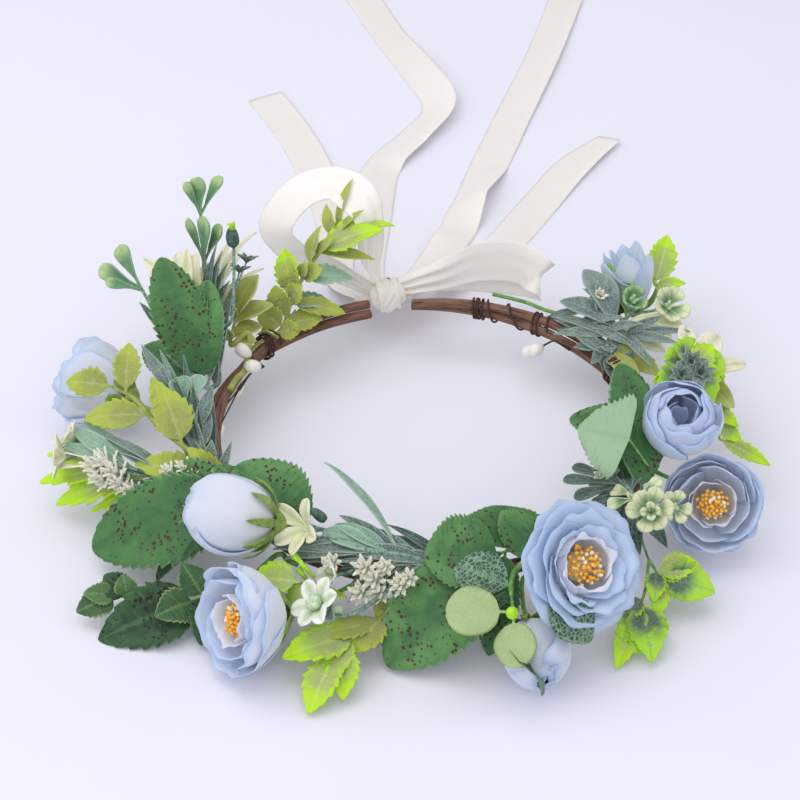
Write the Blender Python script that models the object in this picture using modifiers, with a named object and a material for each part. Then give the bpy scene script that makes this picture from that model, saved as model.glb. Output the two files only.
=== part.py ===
"""Flower crown: an open vine ring with bound flower, leaf and berry picks, tied at the back with a bow.

Frame: the origin is on the table under the centre of the head opening, +Z is up and +Y points to the bow.
A place on the crown is (along, out, up) in millimetres. along is the arc from the middle of the front,
measured on the vine's centre circle and positive towards +X, out is the distance outside that circle, and
up is the height above the vine's centre. A heading is (forward, outward, upward) at a place.
"""

import math

import bmesh
import bpy
from mathutils import Vector

MM = 0.001

# Vine ring
RING_RADIUS = 93.0        # centre circle of the two strands, for a head of about 56 cm
VINE_HEIGHT = 24.0        # centre of the strands above the table
VINE_GAP = 20.0           # open stretch at the back, which the bow closes
STRAND_DIAMETER = 4.3
STRAND_TWIST = 320.0      # length of vine in which the strands turn once round each other
STRAND_STEP = 12.0

# Wires, stems and fits
FIT_GAP = 0.3
WIRE_DIAMETER = 1.0
WIRE_STEPS = 7            # points in one turn
STEM_DIAMETER = 1.8
STEM_STEP = 7.0
STEM_ENTRY = 6.0          # straight length of stem under a calyx
CALYX_DEPTH = 6.0
LEAF_THICKNESS = 0.8
PETIOLE_WIDTH = 1.6
BERRY_RADIUS = 3.6
STAMEN_HEIGHT = 7.0
TURNED_STEPS = 14

# Ribbon bow
RIBBON_WIDTH = 20.0
RIBBON_THICKNESS = 0.8
RIBBON_PINCH = 0.3        # share of its width that a tail has where it leaves the knot
KNOT_SIDE_GAP = 1.5       # between the knot and each end of the vine
KNOT_DEPTH = 12.0
KNOT_HEIGHT = 15.0
KNOT_OUT = 8.0            # centre of the knot outside the vine's circle
TAIL_HINGE_DROP = 4.0     # axis on which the tails swing, below the vine's centre
TAIL_GAP = 1.6            # between tails where they leave the knot
TAIL_LANDING = 50.0       # horizontal run in which a tail comes down to the table
TAIL_SPREAD = 110.0       # run in which a tail opens to its full width
TAIL_STEP = 14.0
LOOP_STEP = 9.0

STRAND_OFFSET = (STRAND_DIAMETER + FIT_GAP) / 2
BUNDLE_RADIUS = STRAND_OFFSET + STRAND_DIAMETER / 2
LANE_RADIUS = BUNDLE_RADIUS + 2 * FIT_GAP + STEM_DIAMETER / 2
# A wound wire is drawn with flats, so its corners stand a little further out than its flats.
WRAP_CORNER = 1 / math.cos(math.pi / WIRE_STEPS)
BARE_WRAP = (BUNDLE_RADIUS + FIT_GAP + WIRE_DIAMETER / 2) * WRAP_CORNER
STEM_WRAP = (LANE_RADIUS + STEM_DIAMETER / 2 + FIT_GAP + WIRE_DIAMETER / 2) * WRAP_CORNER
OVER_WIRE_LANE = BARE_WRAP + WIRE_DIAMETER / 2 + 2 * FIT_GAP + STEM_DIAMETER / 2
BACK = math.pi * RING_RADIUS      # along at the middle of the back
KNOT_BACK = KNOT_OUT + KNOT_DEPTH / 2
TAIL_HINGE_OUT = KNOT_BACK + 2.0
TAIL_HINGE_UP = VINE_HEIGHT - TAIL_HINGE_DROP
TAIL_SPACING = RIBBON_PINCH * RIBBON_WIDTH + TAIL_GAP

PARTS = None
GUIDES = None


def start_scene():
    """Empty the scene and make collections for the crown and for the shapes that are joined into it."""
    global PARTS, GUIDES
    for item in list(bpy.data.objects):
        bpy.data.objects.remove(item)
    PARTS = bpy.data.collections.new("flower_crown")
    GUIDES = bpy.data.collections.new("joined_shapes")
    bpy.context.scene.collection.children.link(PARTS)
    bpy.context.scene.collection.children.link(GUIDES)


def spot(along, out, up):
    """The point at a place on the crown, in metres."""
    angle = along / RING_RADIUS
    reach = RING_RADIUS + out
    return Vector((reach * math.sin(angle), -reach * math.cos(angle), VINE_HEIGHT + up)) * MM


def heading(along, forward, outward, upward):
    """A unit vector given along the ring, away from its centre and up."""
    angle = along / RING_RADIUS
    tangent = Vector((math.cos(angle), math.sin(angle), 0))
    radial = Vector((math.sin(angle), -math.cos(angle), 0))
    return (tangent * forward + radial * outward + Vector((0, 0, upward))).normalized()


def lane(along, degrees, radius):
    """A stem's place beside the vine: 0 degrees is outside it, 90 above and 180 inside."""
    angle = math.radians(degrees)
    return spot(along, radius * math.cos(angle), radius * math.sin(angle))


def smooth(points, step):
    """Points a step apart, in millimetres, on a Catmull-Rom curve through the given points."""
    ends = [points[0] * 2 - points[1], *points, points[-1] * 2 - points[-2]]
    route = []
    for before, first, second, after in zip(ends, ends[1:], ends[2:], ends[3:]):
        count = max(1, round((second - first).length / (step * MM)))
        for index in range(count):
            t = index / count
            linear = (second - before) * t
            square = (before * 2 - first * 5 + second * 4 - after) * t * t
            cube = (first * 3 - before - second * 3 + after) * t * t * t
            route.append(first + (linear + square + cube) / 2)
    route.append(points[-1])
    return route


def material(name, colour, roughness):
    """A Principled material, made once for each name."""
    made = bpy.data.materials.get(name)
    if made is None:
        made = bpy.data.materials.new(name)
        made.use_nodes = True
        shader = made.node_tree.nodes["Principled BSDF"]
        shader.inputs["Base Color"].default_value = (*colour, 1)
        shader.inputs["Roughness"].default_value = roughness
        shader.inputs["Metallic"].default_value = 0
    return made


BARK = ("brown_bark", (0.13, 0.06, 0.04), 0.85)
PAPER_WIRE = ("brown_paper_wire", (0.06, 0.03, 0.02), 0.8)
PALE_BLUE = ("pale_blue_petal_cloth", (0.48, 0.62, 0.88), 0.7)
CALYX_GREEN = ("green_calyx_plastic", (0.09, 0.2, 0.05), 0.5)
STEM_GREEN = ("green_stem_plastic", (0.12, 0.3, 0.06), 0.5)
STAMEN_ORANGE = ("orange_stamens", (0.85, 0.42, 0.05), 0.6)
SPOTTED = ("spotted_green_leaf_cloth", (0.09, 0.24, 0.1), 0.6)
DARK_LEAF = ("dark_green_leaf_cloth", (0.04, 0.13, 0.06), 0.6)
LIME = ("lime_leaf_plastic", (0.45, 0.75, 0.03), 0.5)
FUZZY = ("yellow_green_flocked_leaf", (0.42, 0.5, 0.12), 0.9)
DUSTY = ("grey_green_flocked_leaf", (0.16, 0.28, 0.25), 0.9)
CREAM = ("cream_ribbon_satin", (0.9, 0.84, 0.7), 0.35)
IVORY = ("ivory_berry_foam", (0.87, 0.84, 0.74), 0.6)


def add_part(item, look):
    """Put an object among the crown's parts with its material."""
    PARTS.objects.link(item)
    item.data.materials.append(material(*look))
    return item


def mesh_object(name, points, faces=(), edges=()):
    data = bpy.data.meshes.new(name)
    data.from_pydata([tuple(point) for point in points], edges, faces)
    return bpy.data.objects.new(name, data)


def tube_object(name, points, diameter):
    """A round wire or stem with closed ends along the points."""
    data = bpy.data.curves.new(name, "CURVE")
    data.dimensions = "3D"
    data.bevel_depth = diameter / 2 * MM
    data.bevel_resolution = 2
    data.use_fill_caps = True
    spline = data.splines.new("POLY")
    spline.points.add(len(points) - 1)
    for corner, point in zip(spline.points, points):
        corner.co = (*point, 1)
    return bpy.data.objects.new(name, data)


def turned(name, profile, base, axis, look):
    """A turned piece: (radius, height) in millimetres from the top, down the outside, to the bottom."""
    points = [(radius * MM, 0, height * MM) for radius, height in profile]
    edges = [(index, index + 1) for index in range(len(points) - 1)]
    item = mesh_object(name, points, edges=edges)
    screw = item.modifiers.new("turn", "SCREW")
    screw.steps = screw.render_steps = TURNED_STEPS
    screw.use_merge_vertices = True
    screw.merge_threshold = 0.00001
    item.location = base
    item.rotation_euler = axis.to_track_quat("Z", "Y").to_euler()
    return add_part(item, look)


def solid_mesh(curve):
    """The mesh of a tube, with its caps welded to its sides."""
    PARTS.objects.link(curve)
    shape = curve.evaluated_get(bpy.context.evaluated_depsgraph_get())
    data = bpy.data.meshes.new_from_object(shape)
    soft = bmesh.new()
    soft.from_mesh(data)
    bmesh.ops.remove_doubles(soft, verts=soft.verts, dist=0.00001)
    soft.to_mesh(data)
    soft.free()
    item = bpy.data.objects.new(curve.name, data)
    item.matrix_world = curve.matrix_world
    name = curve.name
    bpy.data.objects.remove(curve)
    item.name = name
    return item


def guide(item, group):
    """Keep a shape in a group that is joined to a part, out of the render."""
    group.objects.link(item)
    item.hide_render = True
    item.display_type = "WIRE"
    return item


def blade(name, base, tip, width, face):
    """A leaf blade from base to tip, folded a little along its midrib, as an open surface with Solidify."""
    run = tip - base
    side = run.cross(face).normalized()
    lift = side.cross(run).normalized() * run.length
    rows = ((0.0, PETIOLE_WIDTH / width, 0.0), (0.2, 0.5, 0.04), (0.55, 1.0, 0.06), (1.0, 0.06, 0.0))
    points = []
    for share, breadth, arch in rows:
        middle = base + run * share + lift * arch
        reach = side * (breadth * width / 2 * MM)
        fold = lift.normalized() * (breadth * width * 0.08 * MM)
        points += [middle - reach + fold, middle, middle + reach + fold]
    faces = []
    for row in range(len(rows) - 1):
        corner = row * 3
        faces.append((corner, corner + 1, corner + 4, corner + 3))
        faces.append((corner + 1, corner + 2, corner + 5, corner + 4))
    item = mesh_object(name, points, faces)
    shell = item.modifiers.new("thickness", "SOLIDIFY")
    shell.thickness = LEAF_THICKNESS * MM
    shell.offset = 0
    return item


def pip(name, centre, radius, axis, stretch):
    """A rounded berry or bud, longer along its axis."""
    soft = bmesh.new()
    bmesh.ops.create_uvsphere(soft, u_segments=8, v_segments=6, radius=radius * MM)
    for vertex in soft.verts:
        vertex.co.z *= stretch
    data = bpy.data.meshes.new(name)
    soft.to_mesh(data)
    soft.free()
    item = bpy.data.objects.new(name, data)
    item.location = centre
    item.rotation_euler = axis.to_track_quat("Z", "Y").to_euler()
    return item


def joined(stem, shapes, look):
    """A pick: its stem with the leaves or berries joined on, as one solid."""
    group = bpy.data.collections.new(stem.name + "_shapes")
    GUIDES.children.link(group)
    for shape in shapes:
        guide(shape, group)
    union = stem.modifiers.new("join", "BOOLEAN")
    union.operation = "UNION"
    union.operand_type = "COLLECTION"
    union.collection = group
    return add_part(stem, look)


def stem_route(root, bends, radius=LANE_RADIUS):
    """A stem's points: bound along the vine between two places on one lane, then out through its bends."""
    start, end, degrees = root
    bound = [lane(start + (end - start) * share, degrees, radius) for share in (0, 0.5, 1)]
    return bound + [spot(*place) for place in bends]


def pick(name, look, root, bends, leaves, face=(0, 0, 1)):
    """A leaf pick. Each leaf is (share of the stem at its base, tip's place, width)."""
    route = smooth(stem_route(root, bends), STEM_STEP)
    stem = solid_mesh(tube_object(name, route, STEM_DIAMETER))
    shapes = []
    for number, (share, tip, width) in enumerate(leaves, 1):
        base = route[round(share * (len(route) - 1))]
        leaf_face = heading(tip[0], *face)
        shapes.append(blade(f"{name}_leaf_{number}", base, spot(*tip), width, leaf_face))
    return joined(stem, shapes, look)


def berry_pick(name, root, bends, berries):
    """A berry pick. Each berry is (share of the stem at its twig, place of its centre)."""
    route = smooth(stem_route(root, bends), STEM_STEP)
    stem = solid_mesh(tube_object(name, route, STEM_DIAMETER))
    shapes = []
    for number, (share, place) in enumerate(berries, 1):
        base = route[round(share * (len(route) - 1))]
        centre = spot(*place)
        twig = tube_object(f"{name}_twig_{number}", [base, centre], STEM_DIAMETER * 0.7)
        shapes.append(solid_mesh(twig))
        shapes.append(pip(f"{name}_berry_{number}", centre, BERRY_RADIUS, centre - base, 1.25))
    return joined(stem, shapes, IVORY)


def vine_strand(name, turn):
    """One of the two strands, which turn slowly round each other."""
    reach = BACK - VINE_GAP / 2
    count = round(2 * reach / STRAND_STEP)
    points = []
    for index in range(count + 1):
        along = reach * (2 * index / count - 1)
        angle = 2 * math.pi * along / STRAND_TWIST + turn
        points.append(spot(along, STRAND_OFFSET * math.cos(angle), STRAND_OFFSET * math.sin(angle)))
    return add_part(tube_object(name, points, STRAND_DIAMETER), BARK)


def binding_wire(name, stretches):
    """A wire wound round the vine. Each stretch is (start, end, turns, start radius, end radius)."""
    points = []
    turned_so_far = 0
    for start, end, turns, first_radius, last_radius in stretches:
        count = math.ceil(turns * WIRE_STEPS)
        for index in range(count):
            share = index / count
            angle = 2 * math.pi * (turned_so_far + turns * share)
            radius = first_radius + (last_radius - first_radius) * share
            place = start + (end - start) * share
            points.append(spot(place, radius * math.cos(angle), radius * math.sin(angle)))
        turned_so_far += turns
    return add_part(tube_object(name, points, WIRE_DIAMETER), PAPER_WIRE)


def open_bloom(radius, depth, pocket):
    """Profile of an open flower, with a pocket for its stamens."""
    floor = 0.42 * depth
    return [
        (0, floor), (pocket, floor), (pocket * 1.25, 0.78 * depth),
        (0.7 * radius, depth), (radius, 0.8 * depth),
        (0.94 * radius, 0.5 * depth), (0.66 * radius, 0.2 * depth), (0.25 * radius, 0), (0, 0),
    ]


def rolled_bloom(radius, depth):
    """Profile of a rolled, rose-like flower with a dimple."""
    return [
        (0, 0.84 * depth), (0.3 * radius, 0.95 * depth), (0.62 * radius, depth), (0.9 * radius, 0.84 * depth),
        (radius, 0.55 * depth), (0.84 * radius, 0.22 * depth), (0.28 * radius, 0), (0, 0),
    ]


def bud_bloom(radius, depth):
    """Profile of a closed bud: an egg that is cut flat at its base."""
    steps = 8
    points = []
    for index in range(steps):
        angle = math.radians(164) * index / (steps - 1)
        share = (math.cos(angle) - math.cos(math.radians(164))) / (1 - math.cos(math.radians(164)))
        points.append((radius * math.sin(angle), depth * share))
    return points + [(0, 0)]


def flower(name, form, middle, facing, radius, depth, root, bends=(), lane_radius=LANE_RADIUS):
    """A flower: petals, calyx and stem, and stamens in an open one."""
    axis = heading(middle[0], *facing)
    base = spot(*middle) - axis * (depth / 2 * MM)
    pocket = 0.3 * radius
    if form == "open":
        profile = open_bloom(radius, depth, pocket)
        tuft = pocket - FIT_GAP
        floor = 0.42 * depth + FIT_GAP
        top = floor + STAMEN_HEIGHT
        stamens = [(0, top), (0.6 * tuft, top), (tuft, top - 0.4 * STAMEN_HEIGHT), (0.8 * tuft, floor)]
        turned(f"{name}_stamens", stamens + [(0, floor)], base, axis, STAMEN_ORANGE)
    elif form == "rolled":
        profile = rolled_bloom(radius, depth)
    else:
        profile = bud_bloom(radius, depth)
    turned(f"{name}_petals", profile, base, axis, PALE_BLUE)
    waist = STEM_DIAMETER / 2 + FIT_GAP
    rim = 0.3 * radius
    calyx = [(0, -FIT_GAP), (rim, -FIT_GAP), (0.9 * rim, -0.4 * CALYX_DEPTH), (waist, -CALYX_DEPTH)]
    turned(f"{name}_calyx", calyx + [(0, -CALYX_DEPTH)], base, axis, CALYX_GREEN)
    stem_top = base - axis * ((CALYX_DEPTH + FIT_GAP) * MM)
    route = stem_route(root, bends, lane_radius) + [stem_top - axis * (STEM_ENTRY * MM), stem_top]
    add_part(tube_object(f"{name}_stem", smooth(route, STEM_STEP), STEM_DIAMETER), STEM_GREEN)


def strip(name, route, sides, widths):
    """A ribbon along a route, as an open surface with Solidify."""
    points = []
    for middle, side, width in zip(route, sides, widths):
        reach = side.normalized() * (width / 2 * MM)
        points += [middle - reach, middle + reach]
    faces = [(row, row + 1, row + 3, row + 2) for row in range(0, len(points) - 2, 2)]
    item = mesh_object(name, points, faces)
    shell = item.modifiers.new("thickness", "SOLIDIFY")
    shell.thickness = RIBBON_THICKNESS * MM
    shell.offset = 0
    return add_part(item, CREAM)


def behind(across, back, up):
    """A point by the bow: across from the crown's middle plane, behind the vine's circle, above the table."""
    return Vector((across, RING_RADIUS + back, up)) * MM


def ribbon_tail(name, number, bends):
    """A tail from its pivot behind the knot down to the table.

    Its bends are (across, behind): across is in ribbon widths and behind is in millimetres.
    """
    start = (number - 2.5) * TAIL_SPACING
    resting = RIBBON_THICKNESS / 2 + 0.02
    corners = [behind(start, TAIL_HINGE_OUT + FIT_GAP, TAIL_HINGE_UP)]
    for across, back in bends:
        fall = max(0.0, 1 - (back - TAIL_HINGE_OUT) / TAIL_LANDING)
        corners.append(behind(across * RIBBON_WIDTH, back, resting + (TAIL_HINGE_UP - resting) * fall * fall))
    route = smooth(corners, TAIL_STEP)
    for point in route:
        point.z = max(point.z, resting * MM)
    sides = []
    widths = []
    for index, point in enumerate(route):
        run = route[min(index + 1, len(route) - 1)] - route[max(index - 1, 0)]
        sides.append(Vector((run.y, -run.x, 0)) if index else Vector((1, 0, 0)))
        opened = min(1.0, (point - route[0]).length / (TAIL_SPREAD * MM))
        widths.append(RIBBON_WIDTH * (RIBBON_PINCH + (1 - RIBBON_PINCH) * opened))
    tail = strip(name, route, sides, widths)
    pivot = bpy.data.objects.new(name + "_pivot", None)
    PARTS.objects.link(pivot)
    pivot.location = behind(0, TAIL_HINGE_OUT, TAIL_HINGE_UP)
    tail.parent = pivot
    tail.location = -pivot.location
    return tail


def ribbon_loop(name, bends, side):
    """A loop that leaves the knot and comes back. Its bends are (across, behind, above the vine's centre)."""
    route = smooth([behind(across, back, VINE_HEIGHT + up) for across, back, up in bends], LOOP_STEP)
    last = len(route) - 1
    widths = [RIBBON_WIDTH * (0.35 + 0.6 * math.sin(math.pi * row / last)) for row in range(last + 1)]
    return strip(name, route, [Vector(side)] * len(route), widths)


def bow():
    """The knot, its two loops and its four tails."""
    soft = bmesh.new()
    bmesh.ops.create_cube(soft, size=1)
    size = (VINE_GAP - 2 * KNOT_SIDE_GAP, KNOT_DEPTH, KNOT_HEIGHT)
    for vertex in soft.verts:
        vertex.co = [place * side * MM for place, side in zip(vertex.co, size)]
    data = bpy.data.meshes.new("ribbon_knot")
    soft.to_mesh(data)
    soft.free()
    knot = add_part(bpy.data.objects.new("ribbon_knot", data), CREAM)
    knot.location = behind(0, KNOT_OUT, VINE_HEIGHT + 1)
    rounded = knot.modifiers.new("soft_form", "BEVEL")
    rounded.width = 3.5 * MM
    rounded.segments = 3

    top = KNOT_BACK + 1
    side = size[0] / 2 + 1
    ribbon_loop("ribbon_loop_left", [
        (-5, top, 6), (-9, top + 6, 20), (-16, 38, 34), (-32, 55, 32),
        (-38, 50, 18), (-24, 34, 9), (-9, top + 2, 2),
    ], (1, -0.7, 0.5))
    ribbon_loop("ribbon_loop_right", [
        (side, KNOT_OUT + 3, 6), (28, 22, 9), (56, 24, 10),
        (74, 18, 6), (74, 14, 1), (50, 13, -2), (26, 12, -2),
        (side + 1, KNOT_OUT + 2, -2),
    ], (0.1, 1, -0.35))

    ribbon_tail("ribbon_tail_left_short", 1, [
        (-0.75, 60), (-0.5, 110), (-0.65, 160), (-0.95, 200), (-1.45, 240),
    ])
    ribbon_tail("ribbon_tail_left_long", 2, [
        (0.1, 60), (0.6, 112), (1.1, 155), (2.2, 182), (3.15, 210), (2.95, 250), (2.55, 292), (2.2, 338),
        (1.85, 377),
    ])
    ribbon_tail("ribbon_tail_right_long", 3, [
        (1.05, 50), (2.2, 80), (2.9, 108), (3.7, 140), (4.95, 191), (6.5, 253), (7.95, 318), (8.8, 357),
    ])
    ribbon_tail("ribbon_tail_right_short", 4, [(1.75, 40), (3.4, 72), (4.65, 104), (6.0, 138), (7.35, 163)])


def ring():
    """The two vine strands and the wires that bind the picks to them."""
    vine_strand("vine_strand_first", 0)
    vine_strand("vine_strand_second", math.pi)
    binding_wire("binding_wire_back_right", [
        (254, 240, 4, BARE_WRAP, BARE_WRAP), (240, 224, 1, BARE_WRAP, BARE_WRAP),
        (224, 219, 2, BARE_WRAP, BARE_WRAP), (219, 214, 0.5, BARE_WRAP, BARE_WRAP),
    ])
    binding_wire("binding_wire_right", [(176, 166, 3, STEM_WRAP, STEM_WRAP)])
    binding_wire("binding_wire_front", [(37, 28, 3, STEM_WRAP, STEM_WRAP)])
    binding_wire("binding_wire_left", [(-114, -120, 2, STEM_WRAP, STEM_WRAP)])
    binding_wire("binding_wire_back_left", [(-222, -232, 3, STEM_WRAP, STEM_WRAP)])


def flowers():
    """The eight flowers, from the back left round to the back right."""
    flower("rolled_flower_back_left", "rolled", (-184, 56, -3), (-0.25, 0.95, 0.1), 19.5, 30, (-152, -166, 0),
           [(-174, 14, -2)])
    flower("bud_left", "bud", (-91, 18, 19), (-0.77, 0.64, 0.12), 16.5, 37, (-46, -58, 90))
    flower("open_flower_left_front", "open", (-67, 42, -1), (-0.45, 0.84, 0.29), 22, 28, (-30, -42, 0))
    flower("open_flower_front", "open", (30, 26, 16), (0.1, 0.75, 0.65), 26, 24, (52, 42, 0))
    flower("bud_front", "bud", (13, 40, -10), (-0.15, 0.95, -0.1), 14, 28, (30, 20, -30))
    flower("rolled_flower_right", "rolled", (103, 15, 30), (-0.4, 0.15, 0.9), 16.5, 24, (120, 112, 60))
    flower("open_flower_right", "open", (95, 33, -1), (-0.8, 0.26, 0.54), 20.5, 22, (112, 104, 0))
    flower("bud_back_right", "bud", (204, 41, 13), (0.35, 0.05, 0.93), 12.5, 30, (246, 216, 50),
           lane_radius=OVER_WIRE_LANE)


def picks():
    """The leaf and berry picks, from the back left round to the back right."""
    pick("flocked_leaves_back_left", FUZZY, (-214, -236, 90),
         [(-247, 4, 18), (-262, 12, 27), (-272, 18, 31)], [
        (0.5, (-241, -12, 13), 9), (0.6, (-246, 16, 36), 9), (0.7, (-271, -3, 21), 10),
        (0.75, (-264, 18, 38), 9), (0.85, (-283, 3, 26), 11), (0.95, (-277, 31, 42), 9),
        (1.0, (-286, 22, 28), 12), (1.0, (-282, 40, 48), 7),
    ])
    pick("olive_leaves_back_left", FUZZY, (-186, -204, 130), [(-214, 0, 16), (-224, 2, 22)], [
        (0.7, (-211, 4, 34), 9), (1.0, (-237, 8, 20), 8), (1.0, (-236, 12, 32), 8),
    ])
    pick("spotted_leaves_back_left", SPOTTED, (-170, -182, 60), [(-187, 9, 8)], [
        (1.0, (-203, 36, 51), 30), (0.9, (-206, 14, 42), 24), (0.85, (-196, 40, 14), 20),
    ], (0, -0.6, 0.6))
    pick("boxwood_sprig_back_left", DUSTY, (-176, -196, 30),
         [(-208, 18, 20), (-220, 30, 34), (-228, 36, 48)], [
        (0.65, (-212, 54, 28), 7), (0.75, (-212, 66, 32), 7), (0.8, (-222, 54, 38), 7),
        (0.85, (-240, 24, 38), 7), (0.9, (-240, 30, 46), 7),
        (1.0, (-231, 48, 64), 7), (1.0, (-238, 40, 62), 7),
    ])
    berry_pick("berry_pick_left", (-192, -206, 170), [(-212, -9, 2)], [
        (1.0, (-217, -11, 6)), (0.85, (-209, -12, -5)), (1.0, (-220, -12, -3)),
    ])
    pick("dusty_sprig_left", DUSTY, (-112, -126, 0), [(-134, 20, 3), (-144, 38, 4), (-150, 54, 4)], [
        (0.6, (-128, 40, 9), 9), (0.75, (-160, 34, 12), 9), (0.8, (-136, 54, 6), 9), (1.0, (-151, 68, 2), 10),
        (0.7, (-146, 70, -9), 12), (0.65, (-152, 58, -20), 11),
    ])
    pick("flocked_leaves_left", FUZZY, (-108, -122, 60), [(-133, 13, 17), (-146, 24, 24), (-156, 35, 27)], [
        (0.5, (-134, 36, 22), 11), (0.55, (-150, 14, 36), 13),
        (0.8, (-153, 50, 22), 13), (1.0, (-165, 58, 26), 12),
        (1.0, (-170, 34, 39), 11),
    ])
    pick("spotted_leaves_left", SPOTTED, (-78, -92, 120), [(-103, 3, 9)], [
        (1.0, (-122, 62, -14), 30), (1.0, (-133, 28, 0), 16),
        (0.8, (-80, -30, 10), 16), (1.0, (-120, -24, 10), 24),
    ])
    pick("ivy_sprig_left_front", DARK_LEAF, (-70, -80, -45),
         [(-85, 20, -12), (-93, 44, -15), (-101, 58, -17)], [
        (0.6, (-102, 34, -15), 16), (0.7, (-84, 58, -21), 16),
        (0.85, (-110, 56, -11), 14), (1.0, (-108, 78, -17), 14),
        (1.0, (-97, 78, -21), 14),
    ])
    pick("dusty_sprig_front", DUSTY, (-2, -16, 120), [(-28, 0, 11), (-44, 4, 15), (-58, 4, 18)], [
        (0.6, (-37, 22, 12), 8), (0.6, (-45, -14, 14), 7), (0.7, (-60, -20, 18), 6), (0.8, (-58, 24, 16), 9),
        (0.85, (-83, -34, 22), 6), (1.0, (-74, -8, 26), 8), (1.0, (-68, 8, 30), 8),
    ])
    pick("lime_leaves_front", LIME, (-14, -26, -30), [(-33, 16, -10), (-40, 28, -14)], [
        (0.8, (-30, 32, -18), 9), (0.9, (-55, 24, -4), 10),
        (0.95, (-56, 44, -19), 11), (1.0, (-46, 58, -23), 12),
        (1.0, (-36, 50, -22), 11),
    ])
    pick("spotted_leaves_front", SPOTTED, (40, 24, 120), [(12, 0, 9)], [
        (0.85, (22, -27, 12), 20), (1.0, (-14, -6, 10), 20), (1.0, (-28, 34, -18), 30),
    ])
    pick("eucalyptus_front", DARK_LEAF, (38, 24, 60), [(12, 12, 8), (5, 24, 9)], [
        (0.8, (-4, 6, 10), 13), (0.95, (-6, 32, 7), 16), (1.0, (3, 44, 8), 14),
    ])
    pick("spotted_leaves_right", SPOTTED, (100, 112, 120), [(120, -6, 14)], [
        (0.9, (86, -22, 26), 22), (0.95, (134, -28, 12), 18), (1.0, (160, -6, 20), 22),
    ])
    pick("boxwood_sprig_right", DUSTY, (92, 82, 90), [(75, 3, 16), (68, 12, 22)], [
        (0.7, (74, -16, 12), 8), (1.0, (61, 20, 26), 9), (1.0, (73, 22, 28), 9),
    ])
    pick("lime_leaves_right_front", LIME, (90, 80, -30), [(70, 18, -10), (62, 30, -12)], [
        (0.6, (75, 46, -18), 11), (0.85, (63, 52, -15), 12),
        (1.0, (46, 56, -22), 12), (0.9, (54, 44, -6), 11),
    ])
    pick("lime_leaves_right", LIME, (136, 148, 30), [(153, 16, 10), (157, 28, 12)], [
        (0.7, (138, 36, 6), 12), (0.9, (148, 46, 6), 12), (1.0, (165, 42, 14), 12), (1.0, (158, 28, 26), 11),
    ])
    pick("dusty_sprig_right", DUSTY, (162, 178, 90), [(184, 6, 12), (187, 18, 14), (190, 28, 14)], [
        (0.6, (196, -2, 10), 8), (0.75, (172, 18, 18), 8), (0.8, (206, 16, 22), 9), (1.0, (184, 44, 16), 9),
        (1.0, (192, 44, 23), 8), (0.7, (180, 40, -14), 9), (0.9, (196, 52, -22), 9),
    ])
    berry_pick("berry_pick_right", (198, 208, 180), [(213, -8, -4)], [
        (1.0, (219, -9, -7)), (0.9, (212, -14, -2)),
    ])


start_scene()
ring()
flowers()
picks()
bow()
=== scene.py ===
# %% [markdown]
# # A flower crown, dressed piece by piece
# The crown is an open ring of two brown vine strands. Small sprays of cloth and plastic leaves, eight pale
# blue cloth flowers and a few foam berries are bound to it with paper-covered wire, and a cream satin
# ribbon is tied in a bow across the gap at the back. The plain solid model is loaded first and stays where
# it is. Each plain solid then gets a finely made piece that stands in the same place, moves with the same
# body and takes its place on show.

# %% Load the plain model
import math
import random
from collections import namedtuple

import bmesh
import bpy
import numpy as np
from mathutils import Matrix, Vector


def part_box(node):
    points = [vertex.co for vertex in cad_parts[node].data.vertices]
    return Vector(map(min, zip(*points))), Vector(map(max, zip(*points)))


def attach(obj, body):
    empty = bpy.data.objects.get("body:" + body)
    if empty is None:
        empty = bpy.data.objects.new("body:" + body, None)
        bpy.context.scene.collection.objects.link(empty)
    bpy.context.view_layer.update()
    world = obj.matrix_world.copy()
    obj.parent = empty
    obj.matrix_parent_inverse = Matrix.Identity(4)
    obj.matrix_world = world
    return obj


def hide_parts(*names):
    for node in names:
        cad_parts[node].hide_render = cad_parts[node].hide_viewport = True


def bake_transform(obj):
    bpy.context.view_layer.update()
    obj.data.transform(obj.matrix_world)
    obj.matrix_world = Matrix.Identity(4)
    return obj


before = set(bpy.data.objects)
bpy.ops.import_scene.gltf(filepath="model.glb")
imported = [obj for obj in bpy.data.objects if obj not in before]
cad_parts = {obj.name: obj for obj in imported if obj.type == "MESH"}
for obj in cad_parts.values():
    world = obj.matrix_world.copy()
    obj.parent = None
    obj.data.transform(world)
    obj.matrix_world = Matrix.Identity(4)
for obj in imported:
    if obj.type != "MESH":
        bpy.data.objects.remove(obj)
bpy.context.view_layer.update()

# %% [markdown]
# ## Places on the crown
# Nobody who makes a crown thinks in x, y and z. A place is given as the arc along the vine from the middle
# of the front, the distance outside the vine and the height above its centre, all in millimetres. The
# vine's own radius and height are measured on the plain strands, so the places follow them.

# %% Measure the vine
MM = 0.001
strand_low, strand_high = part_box("vine_strand_first")
VINE_HEIGHT = (strand_low.z + strand_high.z) / 2 / MM
BUNDLE_RADIUS = (strand_high.z - strand_low.z) / 2 / MM
STRAND_RADIUS = 2.15
STRAND_OFFSET = BUNDLE_RADIUS - STRAND_RADIUS
RING_RADIUS = round(-strand_low.y / MM - BUNDLE_RADIUS, 0)
STEM_RADIUS = 0.9
LANE_RADIUS = BUNDLE_RADIUS + 0.6 + STEM_RADIUS
print(f"vine circle {RING_RADIUS:.1f} mm, {VINE_HEIGHT:.1f} mm up, bundle {2 * BUNDLE_RADIUS:.1f} mm thick")


def spot(along, out, up):
    """The point at a place on the crown, in metres."""
    angle = along / RING_RADIUS
    reach = RING_RADIUS + out
    return Vector((reach * math.sin(angle), -reach * math.cos(angle), VINE_HEIGHT + up)) * MM


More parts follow.
